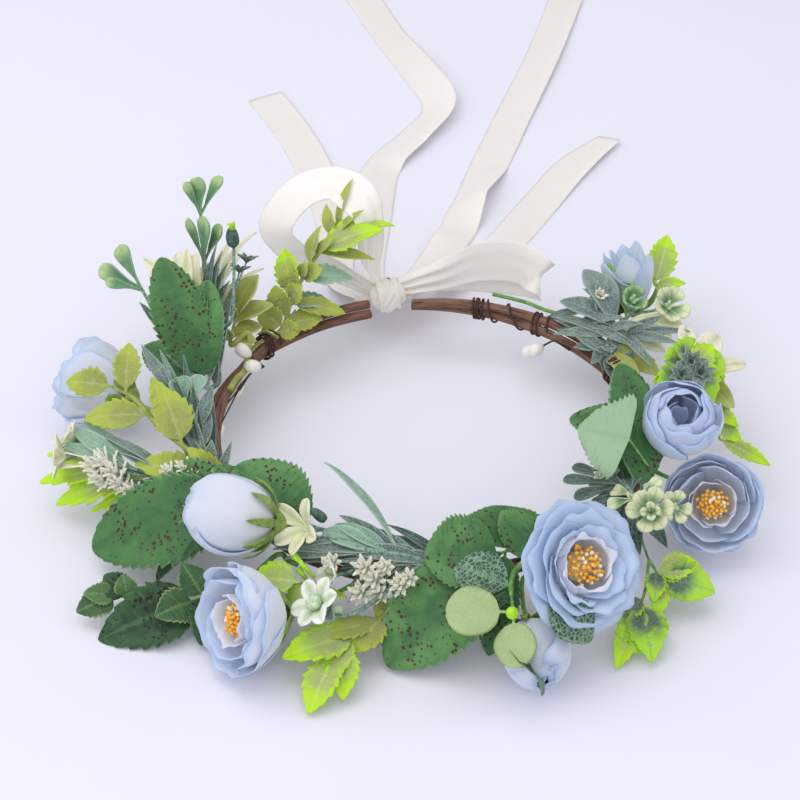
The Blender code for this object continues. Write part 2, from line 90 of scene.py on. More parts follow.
def heading(along, forward, outward, upward):
    """A unit vector given along the ring, away from its centre and up."""
    angle = along / RING_RADIUS
    tangent = Vector((math.cos(angle), math.sin(angle), 0))
    radial = Vector((math.sin(angle), -math.cos(angle), 0))
    return (tangent * forward + radial * outward + Vector((0, 0, upward))).normalized()


def lane(along, degrees, radius):
    """A place beside the vine: 0 degrees is outside it, 90 above and 180 inside."""
    angle = math.radians(degrees)
    return spot(along, radius * math.cos(angle), radius * math.sin(angle))


def smooth(points, step):
    """Points about a step apart, in millimetres, on a soft curve through the given points."""
    ends = [points[0] * 2 - points[1], *points, points[-1] * 2 - points[-2]]
    route = []
    for before, first, second, after in zip(ends, ends[1:], ends[2:], ends[3:]):
        count = max(1, round((second - first).length / (step * MM)))
        for index in range(count):
            t = index / count
            linear = (second - before) * t
            square = (before * 2 - first * 5 + second * 4 - after) * t * t
            cube = (first * 3 - before - second * 3 + after) * t * t * t
            route.append(first + (linear + square + cube) / 2)
    route.append(points[-1])
    return route


# %% [markdown]
# ## A piece as it grows
# A spray or a bloom is dozens of thin shells and tubes. Making each as its own object would be slow and
# hard to follow, so one `Piece` collects the points and faces of everything in it, and remembers for each
# point how far along and across its leaf it lies, whether it is on the back, how near a vein it is, and a
# chance tint. The materials read those notes, so veins, rims and tips are coloured where the shape has
# them.

# %% Collect the parts of a piece
NOTES = ("along", "across", "back", "vein", "tint")


class Piece:
    """The mesh of one piece as it grows, with its finishes and the notes on its points."""

    def __init__(self, name):
        self.name = name
        self.chance = random.Random(name)
        self.points = []
        self.faces = []
        self.face_finishes = []
        self.finishes = []
        self.notes = {note: [] for note in NOTES}

    def add(self, finish, points, faces, **notes):
        """Add one closed part. Each note is a number or an array with one value for each point."""
        if finish not in self.finishes:
            self.finishes.append(finish)
        first = sum(len(block) for block in self.points)
        self.points.append(points)
        self.faces += [tuple(first + corner for corner in face) for face in faces]
        self.face_finishes += [self.finishes.index(finish)] * len(faces)
        for note in NOTES:
            self.notes[note].append(np.broadcast_to(notes.get(note, 0.0), len(points)))

    def place(self, replaced, slot, body="crown"):
        """Make the object, let it ride on its body and show it instead of the plain node."""
        data = bpy.data.meshes.new(self.name)
        data.from_pydata(np.concatenate(self.points).tolist(), [], self.faces)
        for finish in self.finishes:
            data.materials.append(finish)
        data.polygons.foreach_set("material_index", self.face_finishes)
        for note in NOTES:
            values = np.concatenate(self.notes[note]).astype(np.float32)
            data.attributes.new(note, "FLOAT", "POINT").data.foreach_set("value", values)
        soft = bmesh.new()
        soft.from_mesh(data)
        bmesh.ops.recalc_face_normals(soft, faces=soft.faces)
        soft.to_mesh(data)
        soft.free()
        data.shade_smooth()
        made = bpy.data.objects.new(self.name, data)
        bpy.context.scene.collection.objects.link(made)
        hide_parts(replaced)
        if body:
            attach(made, body)
        print(f"{self.name}: {len(data.polygons)} faces")
        return made


# %% [markdown]
# ## Skins, tubes and turned parts
# Cloth and moulded leaves are thin but they do have a thickness, and a printed copy needs closed bodies. So
# a leaf or petal is worked out as a grid of points down its middle surface, and `skin` thickens the grid to
# both sides and closes its rim. Stems and wires are tubes carried along a route, and berries and cups are
# turned round an axis.

# %% Thicken a grid
def skin(grid, thickness):
    """The closed skin of a grid of rows and columns: its front points, then its back ones, and its faces."""
    rows, columns = grid.shape[:2]
    normal = np.cross(np.gradient(grid, axis=1), np.gradient(grid, axis=0))
    normal /= np.maximum(np.linalg.norm(normal, axis=2, keepdims=True), 1e-12)
    half = normal * (thickness / 2 * MM)
    count = rows * columns
    points = np.concatenate([(grid + half).reshape(-1, 3), (grid - half).reshape(-1, 3)])
    faces = []
    for row in range(rows - 1):
        for column in range(columns - 1):
            a = row * columns + column
            quad = (a, a + 1, a + columns + 1, a + columns)
            faces.append(quad)
            faces.append(tuple(count + corner for corner in reversed(quad)))
    rim = [*range(columns), *range(2 * columns - 1, count, columns)]
    rim += [*range(count - 2, count - columns - 1, -1), *range(count - 2 * columns, 0, -columns)]
    for a, b in zip(rim, rim[1:] + rim[:1]):
        faces.append((b, a, a + count, b + count))
    return points, faces


def ring_faces(count, sides):
    """Faces between rings of points, closed at both ends by fans to two points that follow the rings."""
    faces = []
    for index in range(count - 1):
        for side in range(sides):
            a = index * sides + side
            b = index * sides + (side + 1) % sides
            faces.append((a, b, b + sides, a + sides))
    last = (count - 1) * sides
    for side in range(sides):
        over = (side + 1) % sides
        faces.append((over, side, count * sides))
        faces.append((last + side, last + over, count * sides + 1))
    return faces


def tube(piece, finish, route, radius, sides=10, relief=None):
    """A tube along a route, in mm. The radius is a number or a list, and relief(along, angle) adds to it."""
    count = len(route)
    radii = np.broadcast_to(np.asarray(radius, float), count)
    across = None
    rings = []
    travelled = 0.0
    lengths = []
    for index, middle in enumerate(route):
        run = (route[min(index + 1, count - 1)] - route[max(index - 1, 0)]).normalized()
        across = run.orthogonal() if across is None else across - run * across.dot(run)
        across.normalize()
        beside = run.cross(across)
        if index:
            travelled += (middle - route[index - 1]).length / MM
        lengths.append(travelled)
        for side in range(sides):
            angle = 2 * math.pi * side / sides
            reach = radii[index] + (relief(travelled, angle) if relief else 0.0)
            rings.append(middle + (across * math.cos(angle) + beside * math.sin(angle)) * (reach * MM))
    points = np.array([*rings, route[0], route[-1]], float)
    along = np.array([*np.repeat(lengths, sides), 0, travelled]) / max(travelled, 1e-6)
    around = np.array([*np.tile(np.linspace(-1, 1, sides, endpoint=False), count), 0, 0])
    piece.add(finish, points, ring_faces(count, sides), along=along, across=around, tint=0.5)


def turned(piece, finish, base, axis, profile, sides=16, tint=0.5, relief=None):
    """A part turned round an axis. The profile is (radius, height) in mm from its bottom to its top."""
    u = axis.orthogonal().normalized()
    v = axis.cross(u)
    rings = []
    for radius, height in profile:
        for side in range(sides):
            angle = 2 * math.pi * side / sides
            reach = radius * (1 + (relief(angle) if relief else 0.0))
            rings.append(base + axis * (height * MM) + (u * math.cos(angle) + v * math.sin(angle))
                * (reach * MM))
    bottom = base + axis * (profile[0][1] * MM)
    top = base + axis * (profile[-1][1] * MM)
    count = len(profile)
    heights = np.linspace(0, 1, count)
    along = np.array([*np.repeat(heights, sides), 0, 1])
    points = np.array([*rings, bottom, top], float)
    piece.add(finish, points, ring_faces(count, sides), along=along, tint=tint)


def egg(radius, length, blunt=1.0, steps=9):
    """The profile of a berry or bud: thickest near its bottom where blunt is over 1."""
    profile = []
    for index in range(1, steps):
        share = index / steps
        profile.append((radius * math.sin(math.pi * share ** (1 / blunt)) ** 0.85,
            length * (1 - math.cos(math.pi * share)) / 2))
    return profile


# %% [markdown]
# ## Leaves
# Every leaf here is stamped or moulded: a flat cut with a stalk, a belly, a tip and teeth along its edge,
# pressed into a shallow fold with raised veins. A `Cut` says that outline once for each sort of leaf. The
# rows of the grid are set by the teeth, three or four to a tooth, so each point of the edge is cut sharp
# without a very fine mesh.

# %% Cut and press a leaf
Cut = namedtuple("Cut", "widest blunt stalk teeth depth veins fold thickness")
Leaf = namedtuple("Leaf", "finish cut arch curl")


def leaf_rows(cut):
    """Shares of a leaf's length at which its grid has a row, closer together at each tooth."""
    blade = 1 - cut.stalk
    if cut.teeth:
        marks = [(tooth + part) / cut.teeth for tooth in range(cut.teeth) for part in (0, 0.4, 0.75, 0.97)]
    else:
        marks = [index / 18 for index in range(18)]
    return np.array([0, cut.stalk * 0.5] + [cut.stalk + blade * mark for mark in marks] + [0.995])


def leaf_widths(cut, rows, width):
    """Half of a leaf's width at each row, in millimetres."""
    share = np.clip((rows - cut.stalk) / (1 - cut.stalk), 0, 1)
    power = math.log(0.5) / math.log(cut.widest)
    belly = np.sin(math.pi * share ** power) ** cut.blunt
    if cut.teeth:
        tooth = (share * cut.teeth) % 1.0
        fade = np.clip(share * 4, 0, 1)
        belly = belly * (1 - cut.depth * fade * (1 - tooth)) + 0.25 * cut.depth * (share > 0.9) * (1 - share)
    return np.maximum(belly * width / 2, 0.55 * np.clip(1.6 - 1.5 * rows, 0.15, 1))


def leaf(piece, kind, base, tip, width, face=Vector((0, 0, 1)), twist=0.0):
    """A leaf from its base to its tip, in metres, with its upper side towards the face."""
    cut = kind.cut
    run = tip - base
    length = run.length / MM
    side = run.cross(face).normalized()
    lift = side.cross(run).normalized()
    rows = leaf_rows(cut)
    columns = np.linspace(-1, 1, 5 if width < 4 else 11)
    halves = leaf_widths(cut, rows, width)
    ripple = piece.chance.uniform(0, 6.3)
    t = rows[:, None]
    c = columns[None, :]
    half = halves[:, None]
    share = np.clip((t - cut.stalk) / (1 - cut.stalk), 0, 1)
    vein_place = cut.veins * (share - 0.45 * np.abs(c) * half / max(width, 1))
    side_vein = np.clip(1 - np.abs((vein_place % 1.0) - 0.5) * 7, 0, 1) * (share > 0.04) * (np.abs(c) < 0.93)
    midrib = np.clip(1 - np.abs(c) * half / 0.8, 0, 1)
    vein = np.maximum(side_vein * 0.8, midrib)
    rise = 4 * kind.arch * length * t * (1 - t) - kind.curl * length * t ** 3
    rise = rise + cut.fold * np.abs(c) ** 1.4 * half * (1 - 0.3 * t)
    rise = rise + 0.045 * half * np.abs(c) ** 3 * np.sin(9 * t + ripple + 2 * np.sign(c)) * 2.2
    rise = rise - 0.16 * side_vein - 0.3 * midrib * (t > cut.stalk)
    turn = math.radians(twist) * (t - 0.3)
    sideways = c * half * np.cos(turn)
    rise = rise + c * half * np.sin(turn)
    forward = t + 0 * c
    grid = (
        np.array(base)[None, None, :]
        + forward[..., None] * np.array(run)
        + (sideways * MM)[..., None] * np.array(side)
        + (rise * MM)[..., None] * np.array(lift)
    )
    # A low leaf lies on the table instead of going through it.
    grid[..., 2] = np.maximum(grid[..., 2], (cut.thickness / 2 + 0.1) * MM)
    points, faces = skin(grid, cut.thickness)
    count = grid.shape[0] * grid.shape[1]
    back = np.repeat([0.0, 1.0], count)
    flat = [np.tile(np.broadcast_to(values, grid.shape[:2]).reshape(-1), 2) for values in (share, c, vein)]
    tint = piece.chance.random()
    piece.add(kind.finish, points, faces, along=flat[0], across=flat[1], vein=flat[2], back=back, tint=tint)


# %% [markdown]
# ## Petals
# A cloth petal is cut round, dyed, and pressed over a warm ball so that it cups. On a flower it stands on
# the axis and leans out: `rise` is how steeply it leaves the axis and `lean` is where its lip points, so
# one rule makes the flat outer petals of an open flower, the wrapped petals of a rolled one and the closed
# shell of a bud. Its width is laid round the axis, and a spiral slips one edge under the next petal.

# %% Press a petal
Ring = namedtuple("Ring", "count reach height rise lean width spiral sharp finish")
PETAL_ROWS = 15
PETAL_THICKNESS = 0.3
SEPAL_THICKNESS = 0.5
# A petal's slope is added up in steps a little past its lip, which is at this step.
SLOPE_STEPS = 80
LIP_STEP = 72


def petal(piece, finish, base, axis, turn, ring, reach, height, pointed=False, start=2.0, columns=17):
    """A petal or sepal on a flower's axis. Reach is its largest radius and height its lip's height, in mm."""
    u = axis.orthogonal().normalized()
    v = axis.cross(u)
    chance = piece.chance
    t = np.linspace(0, 1, PETAL_ROWS)[:, None]
    c = np.linspace(-1, 1, columns)[None, :]
    if pointed:
        lobes = 1.0
        belly = np.sin(math.pi * np.clip(0.12 + 0.88 * t, 0, 1)) ** 0.7 + 0.03
    else:
        lobes = 1 - (0.17 + 0.3 * ring.sharp) * np.abs(c) ** (2.4 - 1.2 * ring.sharp)
        lobes = lobes + 0.026 * (1 - ring.sharp) * np.cos(3 * math.pi * c + chance.uniform(-0.6, 0.6))
        lobes = lobes + 0.012 * np.sin(9 * c + chance.uniform(0, 6))
        belly = 0.24 + 0.76 * np.sin(math.pi * np.minimum(t, 0.8) / 1.6)
    share = t * lobes
    steps = np.linspace(0, 1.1, SLOPE_STEPS)
    flare = (26 if ring.lean < 110 else 6) * np.clip((steps - 0.82) / 0.2, 0, 1) ** 2
    slope = np.radians(ring.rise + (ring.lean - ring.rise) * steps - flare)
    outward = np.concatenate([[0], np.cumsum(np.cos(slope))])[:-1]
    upward = np.concatenate([[0], np.cumsum(np.sin(slope))])[:-1]
    scale_out = (reach - start) / max(outward[:LIP_STEP + 1].max(), 1e-6)
    scale_up = height / upward[LIP_STEP]
    radius = start + np.interp(share, steps, outward * scale_out)
    level = np.interp(share, steps, upward * scale_up)
    tilt = np.interp(share, steps, slope)
    ripple = chance.uniform(0, 6.3)
    push = 0.5 * share ** 4 * np.sin(2.4 * math.pi * c + ripple) * (0 if pointed else 1)
    push = push + 0.1 * np.cos(math.pi * 5 * c) * share * (0 if pointed else 1)
    half = ring.width * belly
    angle = np.clip(c * half / np.maximum(radius, 2.2), -2.4, 2.4)
    radius = radius + ring.spiral * c * np.minimum(1, share * 2) - np.sin(tilt) * push
    level = level + np.cos(tilt) * push
    around = angle + turn
    grid = (
        np.array(base)
        + (level * MM)[..., None] * np.array(axis)
        + (radius * np.cos(around) * MM)[..., None] * np.array(u)
        + (radius * np.sin(around) * MM)[..., None] * np.array(v)
    )
    points, faces = skin(grid, SEPAL_THICKNESS if pointed else PETAL_THICKNESS)
    count = PETAL_ROWS * columns
    back = np.repeat([1.0, 0.0], count)
    flat = [np.tile(np.broadcast_to(values, (PETAL_ROWS, columns)).reshape(-1), 2) for values in (t, c)]
    ribs = np.cos(math.pi * 5 * c) * 0.5 + 0.5
    vein = np.tile(np.broadcast_to(ribs, (PETAL_ROWS, columns)).reshape(-1), 2)
    piece.add(finish, points, faces, along=flat[0], across=flat[1], vein=vein, back=back,
        tint=chance.random())

# %% [markdown]
# ## Paints and dyes
# All colours are written as sRGB hex values, as a paint chart gives them, and one function turns them to
# the linear values a shader works with. A second function adds a node with its settings and links. Patterns
# are placed in object coordinates, so a pattern of so many millimetres is that size on every piece.

# %% Colours and nodes
def colour(code):
    """An sRGB hex colour as linear red, green, blue and alpha."""
    parts = [int(code[index:index + 2], 16) / 255 for index in (1, 3, 5)]
    linear = [part / 12.92 if part <= 0.04045 else ((part + 0.055) / 1.055) ** 2.4 for part in parts]
    return (*linear, 1.0)


def add_node(tree, kind, inputs=(), **settings):
    """Add a shader node. Inputs are values or sockets to link, by name or number."""
    node = tree.nodes.new("ShaderNode" + kind)
    for name, value in settings.items():
        setattr(node, name, value)
    for name, value in dict(inputs).items():
        if isinstance(value, bpy.types.NodeSocket):
            tree.links.new(value, node.inputs[name])
        else:
            node.inputs[name].default_value = value
    return node


def grain(size):
    """The scale of a pattern whose features are this many millimetres apart."""
    return 1 / (size * MM)


def new_finish(name, roughness, **constants):
    """A material with its Principled shader set: the same roughness, sheen, coat and so on all over."""
    made = bpy.data.materials.new(name)
    made.use_nodes = True
    shader = made.node_tree.nodes["Principled BSDF"]
    shader.inputs["Roughness"].default_value = roughness
    for constant, value in constants.items():
        shader.inputs[constant.replace("_", " ")].default_value = value
    return made, made.node_tree, shader


def paint_coats(tree, ground, coats):
    """Lay coats of colour over a ground, each through its mask."""
    for mask, paint in coats:
        ground = add_node(tree, "Mix", {0: mask, 6: ground, 7: paint}, data_type="RGBA").outputs[2]
    return ground


def press_bump(tree, shader, height, distance):
    """Let a height pattern, with its depth in millimetres, shade the surface."""
    bump = add_node(tree, "Bump", {"Height": height, "Distance": distance * MM, "Strength": 1.0})
    tree.links.new(bump.outputs["Normal"], shader.inputs["Normal"])


# %% [markdown]
# ## Leaf finishes
# Four sorts of leaf are bound in. The big spotted ones are woven polyester, dyed green, printed with brown
# specks and left paler on the back. The fuzzy and the grey ones are soft moulded polyethylene, dusted with
# short white flock that gathers in the hollows, so they look matt and a little frosted. The lime ones are
# the same plastic with lime sprayed over their tips. One rule makes them all: a mottled ground, then a
# heart, tip, veins, specks, rim and back.

# %% Paint a leaf
def leaf_finish(name, ground, mottle, roughness=0.62, heart=None, tip=None, tip_from=0.45, veins=None,
        vein_share=0.5, specks=None, rim=None, rim_from=0.86, back=None, flock=None, flock_share=0.5,
        sheen=0.0):
    """A leaf's material. Every colour but the ground and its mottle is left out where it isn't given."""
    made, tree, shader = new_finish(name, roughness, Sheen_Weight=sheen, IOR=1.47, Specular_IOR_Level=0.35)
    place = add_node(tree, "TexCoord").outputs["Object"]
    notes = {note: add_node(tree, "Attribute", attribute_name=note).outputs["Fac"] for note in NOTES}
    side = add_node(tree, "Math", {0: notes["across"]}, operation="ABSOLUTE").outputs[0]
    cloud = add_node(tree, "TexNoise", {"Vector": place, "Scale": grain(6), "Detail": 3.0}).outputs[0]
    blotch = add_node(tree, "Math", {0: cloud, 1: notes["tint"]}, operation="ADD").outputs[0]
    blotch = add_node(tree, "MapRange", {"Value": blotch, "From Min": 0.6, "From Max": 1.4}).outputs[0]
    coats = []
    if heart:
        near = add_node(tree, "Math", {0: notes["along"], 1: side, 2: cloud},
            operation="MULTIPLY_ADD").outputs[0]
        mask = add_node(tree, "MapRange", {"Value": near, "From Min": 0.95, "From Max": 0.45}).outputs[0]
        coats.append((mask, colour(heart)))
    if tip:
        far = add_node(tree, "Math", {0: cloud, 1: 0.35, 2: notes["along"]},
            operation="MULTIPLY_ADD").outputs[0]
        limits = {"Value": far, "From Min": tip_from + 0.17, "From Max": tip_from + 0.55}
        coats.append((add_node(tree, "MapRange", limits, interpolation_type="SMOOTHSTEP").outputs[0],
            colour(tip)))
    if flock:
        # Flock fibres are 0.05 mm thick. They are drawn as 0.5 mm flecks, the finest that shows.
        flecks = add_node(tree, "TexNoise", {"Vector": place, "Scale": grain(0.5), "Detail": 2.0}).outputs[0]
        limits = {"Value": flecks, "From Min": 0.62 - 0.2 * flock_share, "From Max": 0.72, "To Max": 0.8}
        coats.append((add_node(tree, "MapRange", limits).outputs[0], colour(flock)))
    if veins:
        mask = add_node(tree, "MapRange", {"Value": notes["vein"], "From Min": 0.35,
            "To Max": vein_share}).outputs[0]
        coats.append((mask, colour(veins)))
    if specks:
        # Printed specks, up to 1.6 mm wide and about 2 mm apart, thinning out in places.
        jitter = add_node(tree, "TexNoise", {"Vector": place, "Scale": grain(2),
            "Detail": 1.0}).outputs["Color"]
        loose = add_node(tree, "Mix", {0: 0.0007, 4: place, 5: jitter}, data_type="VECTOR").outputs[1]
        dots = add_node(tree, "TexVoronoi", {"Vector": loose, "Scale": grain(2.1)}).outputs["Distance"]
        crowd = add_node(tree, "TexNoise", {"Vector": place, "Scale": grain(11)}).outputs[0]
        size = add_node(tree, "MapRange", {"Value": crowd, "From Min": 0.3, "From Max": 0.62, "To Max": 0.38})
        mask = add_node(tree, "Math", {0: dots, 1: size.outputs[0]}, operation="LESS_THAN").outputs[0]
        coats.append((mask, colour(specks)))
    if rim:
        coats.append((add_node(tree, "MapRange", {"Value": side, "From Min": rim_from,
            "To Max": 0.85}).outputs[0], colour(rim)))
    if back:
        coats.append((notes["back"], colour(back)))
    ground = add_node(tree, "Mix", {0: blotch, 6: colour(ground), 7: colour(mottle)},
        data_type="RGBA").outputs[2]
    tree.links.new(paint_coats(tree, ground, coats), shader.inputs["Base Color"])
    weave = add_node(tree, "TexNoise", {"Vector": place, "Scale": grain(0.6), "Detail": 3.0}).outputs[0]
    press_bump(tree, shader, weave, 0.35 if flock else 0.12)
    return made


SPOTTED_CLOTH = leaf_finish("green_printed_leaf_polyester", "#4b7a45", "#5f8f53", 0.62, heart="#3d6a40",
    veins="#54824c", vein_share=0.3, specks="#4a3229", rim="#86aa78", rim_from=0.94, back="#8fae90")
PALE_BACK_CLOTH = leaf_finish("pale_underside_leaf_polyester", "#93b48f", "#a2c09b", 0.65, veins="#86aa84",
    vein_share=0.4, rim="#b4ccae", rim_from=0.94, back="#4f8a4d")
FUZZY_PLASTIC = leaf_finish("yellow_green_flocked_polyethylene", "#8d9c3c", "#a9b453", 0.82, heart="#99a05a",
    tip="#aebf45", veins="#c4cd84", rim="#b9c94a", rim_from=0.78, flock="#c6cb8e", flock_share=0.1, sheen=0.3)
LIME_PLASTIC = leaf_finish("lime_sprayed_polyethylene", "#a9c94c", "#bccb74", 0.6, heart="#a9b77a",
    tip="#bdee1e", veins="#d6ea80", rim="#c2f02a", rim_from=0.66, flock="#cfe07e", flock_share=0.1)
LIME_DARK_PLASTIC = leaf_finish("lime_edged_dark_polyethylene", "#46624a", "#5d7f5c", 0.75, heart="#52695c",
    tip="#b6ea2a", tip_from=0.36, veins="#8ba58a", rim="#b4e632", rim_from=0.62, flock="#a3b6a6",
    flock_share=0.6)
OLIVE_PLASTIC = leaf_finish("olive_moulded_polyethylene", "#8b9440", "#a2a955", 0.5, tip="#bcc77a",
    tip_from=0.6, veins="#b4ba6b", rim="#c3cb8c", rim_from=0.86)
DUSTY_PLASTIC = leaf_finish("grey_green_flocked_polyethylene", "#4f6b60", "#6b877a", 0.88, heart="#56696a",
    veins="#a3b5a8", vein_share=0.55, rim="#a8bbaa", rim_from=0.8, flock="#b9c6bf", flock_share=0.7,
    sheen=0.4)
SLATE_PLASTIC = leaf_finish("slate_green_flocked_polyethylene", "#31493f", "#4a6656", 0.88, heart="#3b4f4c",
    veins="#7f978a", vein_share=0.5, rim="#7f9a88", rim_from=0.82, flock="#9fb0a6", flock_share=0.45,
    sheen=0.3)
SPOON_PLASTIC = leaf_finish("green_moulded_spoon_polyethylene", "#4c7c52", "#669a68", 0.7, tip="#bcd890",
    tip_from=0.6, veins="#79a07f", rim="#93b58f", rim_from=0.84, flock="#a3b9a8", flock_share=0.4)
PALE_SPOON_PLASTIC = leaf_finish("green_hearted_cream_polyethylene", "#5f8a5c", "#7fa673", 0.7, tip="#e6ebbc",
    tip_from=0.45, veins="#9fbb92", rim="#dfe4ba", rim_from=0.76, flock="#c3d0b8", flock_share=0.4)
FROSTED_PLASTIC = leaf_finish("mint_frosted_polyethylene", "#6f9a80", "#8db497", 0.8, veins="#b5cdb6",
    vein_share=0.5, rim="#b9d0b9", rim_from=0.8, flock="#c0d3c4", flock_share=0.6, sheen=0.3)
FRILL_PLASTIC = leaf_finish("cream_tipped_flocked_polyethylene", "#93ad96", "#b4c8ae", 0.8, tip="#fdfbea",
    tip_from=0.05, rim="#f1f1dc", rim_from=0.6, flock="#fafaf0", flock_share=0.4)
CREAM_PLASTIC = leaf_finish("cream_moulded_polyethylene", "#efebc4", "#f5f2da", 0.5, heart="#cdd8a6",
    veins="#d3d1a0", rim="#f1efdc", rim_from=0.85)
WHITE_PLASTIC = leaf_finish("white_green_hearted_polyethylene", "#f3f5e8", "#f8f9f0", 0.5, heart="#b9d0a4",
    veins="#e2e9d2", rim="#f6f7ec", rim_from=0.85)
IVY_CLOTH = leaf_finish("dark_ivy_polyester", "#2d4b30", "#41663c", 0.6, heart="#25402b", veins="#5f8352",
    vein_share=0.5, specks="#23201a", rim="#52764a", rim_from=0.94, back="#6f8f74")
VARIEGATED_CLOTH = leaf_finish("variegated_ivy_polyester", "#3c5f3c", "#587a4a", 0.6, veins="#8aa468",
    vein_share=0.6, rim="#9db777", rim_from=0.86, back="#8fa86a")
DISC_PLASTIC = leaf_finish("translucent_eucalyptus_polyethylene", "#9db578", "#b0c58c", 0.55, veins="#a9c086",
    vein_share=0.3, rim="#8aa05a", rim_from=0.93, flock="#c6d3a8", flock_share=0.45)

# %% [markdown]
# The netted leaf is dark cloth with a raised pale net between its veins. A net is the edges of a cell
# pattern, so the distance to a Voronoi cell's edge draws it, with cells of about 1.6 mm as on the real
# print.

# %% Netted leaf
NETTED_CLOTH, net_tree, net_shader = new_finish("netted_dark_leaf_polyester", 0.6, IOR=1.47)
net_place = add_node(net_tree, "TexCoord").outputs["Object"]
net_cells = add_node(net_tree, "TexVoronoi", {"Vector": net_place, "Scale": grain(1.7)},
    feature="DISTANCE_TO_EDGE").outputs["Distance"]
net_lines = add_node(net_tree, "MapRange", {"Value": net_cells, "From Min": 0.16,
    "From Max": 0.05}).outputs[0]
net_vein = add_node(net_tree, "Attribute", attribute_name="vein").outputs["Fac"]
net_mask = add_node(net_tree, "MapRange", {"Value": net_vein, "From Min": 0.3, "To Max": 0.9}).outputs[0]
net_colour = paint_coats(net_tree, colour("#3a5a44"), [(net_lines, colour("#86a487")),
    (net_mask, colour("#7f9f80"))])
net_tree.links.new(net_colour, net_shader.inputs["Base Color"])
press_bump(net_tree, net_shader, net_lines, 0.2)

# %% [markdown]
# ## Petal cloth
# The flowers are cut from thin polyester, printed pale blue with the dye stronger towards the lip and
# almost white at the foot, and it gathers in a darker line round the edge of each petal. Pressing leaves
# soft lengthwise ribs. The real weave is too fine to see at arm's length, so a coarser one of 0.5 mm
# stands for it. Cloth this thin lets light through, which a little subsurface scattering stands for.

# %% Dye the petals
def petal_cloth(name, foot, belly, lip, rim):
    """Dyed petal polyester, from its foot by the axis to its lip."""
    made, tree, shader = new_finish(name, 0.72, Sheen_Weight=0.25, Subsurface_Weight=0.3,
        Subsurface_Scale=0.004, Subsurface_Radius=(1.0, 1.0, 1.0))
    place = add_node(tree, "TexCoord").outputs["Object"]
    notes = {note: add_node(tree, "Attribute", attribute_name=note).outputs["Fac"] for note in NOTES}
    cloud = add_node(tree, "TexNoise", {"Vector": place, "Scale": grain(9), "Detail": 2.0}).outputs[0]
    reach = add_node(tree, "Math", {0: cloud, 1: 0.3, 2: notes["along"]}, operation="MULTIPLY_ADD").outputs[0]
    shade = add_node(tree, "MapRange", {"Value": notes["tint"], "To Max": 0.3}).outputs[0]
    side = add_node(tree, "Math", {0: notes["across"]}, operation="ABSOLUTE").outputs[0]
    edge = add_node(tree, "Math", {0: side, 1: notes["along"]}, operation="MAXIMUM").outputs[0]
    middle = add_node(tree, "MapRange", {"Value": reach, "From Min": 0.25, "From Max": 0.7}).outputs[0]
    outer = add_node(tree, "MapRange", {"Value": reach, "From Min": 0.65, "From Max": 1.2}).outputs[0]
    line = add_node(tree, "MapRange", {"Value": edge, "From Min": 0.9, "From Max": 0.985,
        "To Max": 0.75}).outputs[0]
    ribs = add_node(tree, "MapRange", {"Value": notes["vein"], "To Max": 0.13}).outputs[0]
    coats = [(middle, colour(belly)), (outer, colour(lip)), (shade, colour(foot)), (ribs, colour(lip)),
        (line, colour(rim))]
    tree.links.new(paint_coats(tree, colour(foot), coats), shader.inputs["Base Color"])
    weave = add_node(tree, "TexNoise", {"Vector": place, "Scale": grain(0.5), "Detail": 2.0}).outputs[0]
    press_bump(tree, shader, weave, 0.06)
    return made


BLUE_CLOTH = petal_cloth("blue_dyed_petal_polyester", "#f2f5fb", "#d3e1f4", "#b9d0f0", "#a6c2e9")
PALE_CLOTH = petal_cloth("pale_blue_petal_polyester", "#f6f7fc", "#eaf0fb", "#d0e0f8", "#a9c4ec")
LILAC_CLOTH = petal_cloth("lilac_blue_petal_polyester", "#e2e6f6", "#cfd9f3", "#bccdf0", "#b0c4ec")
WHITE_CLOTH = petal_cloth("white_petal_polyester", "#f5f1f4", "#f0eef5", "#e3e9f6", "#d5dff3")

# %% [markdown]
# ## Stems, wires, bark and stamens
# The vine is dry bark: long fibres, dark cracks and broad redder patches laid at random. Stems are wire
# dipped in green plastic. The binding wire is wrapped in brown paper, a spiral seam every couple of
# millimetres.
# Stamens are waxed threads with orange heads.

# %% Plastic stems and calyxes
def dipped_plastic(name, ground, mottle, roughness, size):
    """Soft plastic with cloudy colour and a slightly uneven skin, from dipping or moulding."""
    made, tree, shader = new_finish(name, roughness, IOR=1.5, Specular_IOR_Level=0.4)
    place = add_node(tree, "TexCoord").outputs["Object"]
    cloud = add_node(tree, "TexNoise", {"Vector": place, "Scale": grain(size), "Detail": 4.0}).outputs[0]
    mask = add_node(tree, "MapRange", {"Value": cloud, "From Min": 0.38, "From Max": 0.62}).outputs[0]
    tree.links.new(paint_coats(tree, colour(ground), [(mask, colour(mottle))]), shader.inputs["Base Color"])
    fine = add_node(tree, "TexNoise", {"Vector": place, "Scale": grain(0.8), "Detail": 2.0}).outputs[0]
    press_bump(tree, shader, fine, 0.1)
    return made


STEM_PLASTIC = dipped_plastic("bright_green_dipped_wire", "#5c8f40", "#86b45e", 0.45, 3)
OLIVE_STEM = dipped_plastic("olive_dipped_wire", "#8c9440", "#a9b25c", 0.5, 4)
DUSTY_STEM = dipped_plastic("grey_green_flocked_stem", "#5b7a6c", "#9db5a2", 0.85, 1.2)
CALYX_PLASTIC = dipped_plastic("olive_green_calyx_polyethylene", "#6b8a3c", "#93a95a", 0.5, 3)
WIRE_PAPER = dipped_plastic("brown_paper_wrapped_wire", "#3a261f", "#5f4337", 0.9, 0.9)
CUT_WOOD = dipped_plastic("pale_cut_vine_end", "#8a6148", "#6d4936", 0.85, 0.8)
STAMEN_HEAD = dipped_plastic("orange_waxed_stamen", "#f6a51f", "#fdce5c", 0.5, 1.6)
STAMEN_THREAD = dipped_plastic("yellow_waxed_thread", "#f8dd8c", "#fbefc6", 0.6, 2)
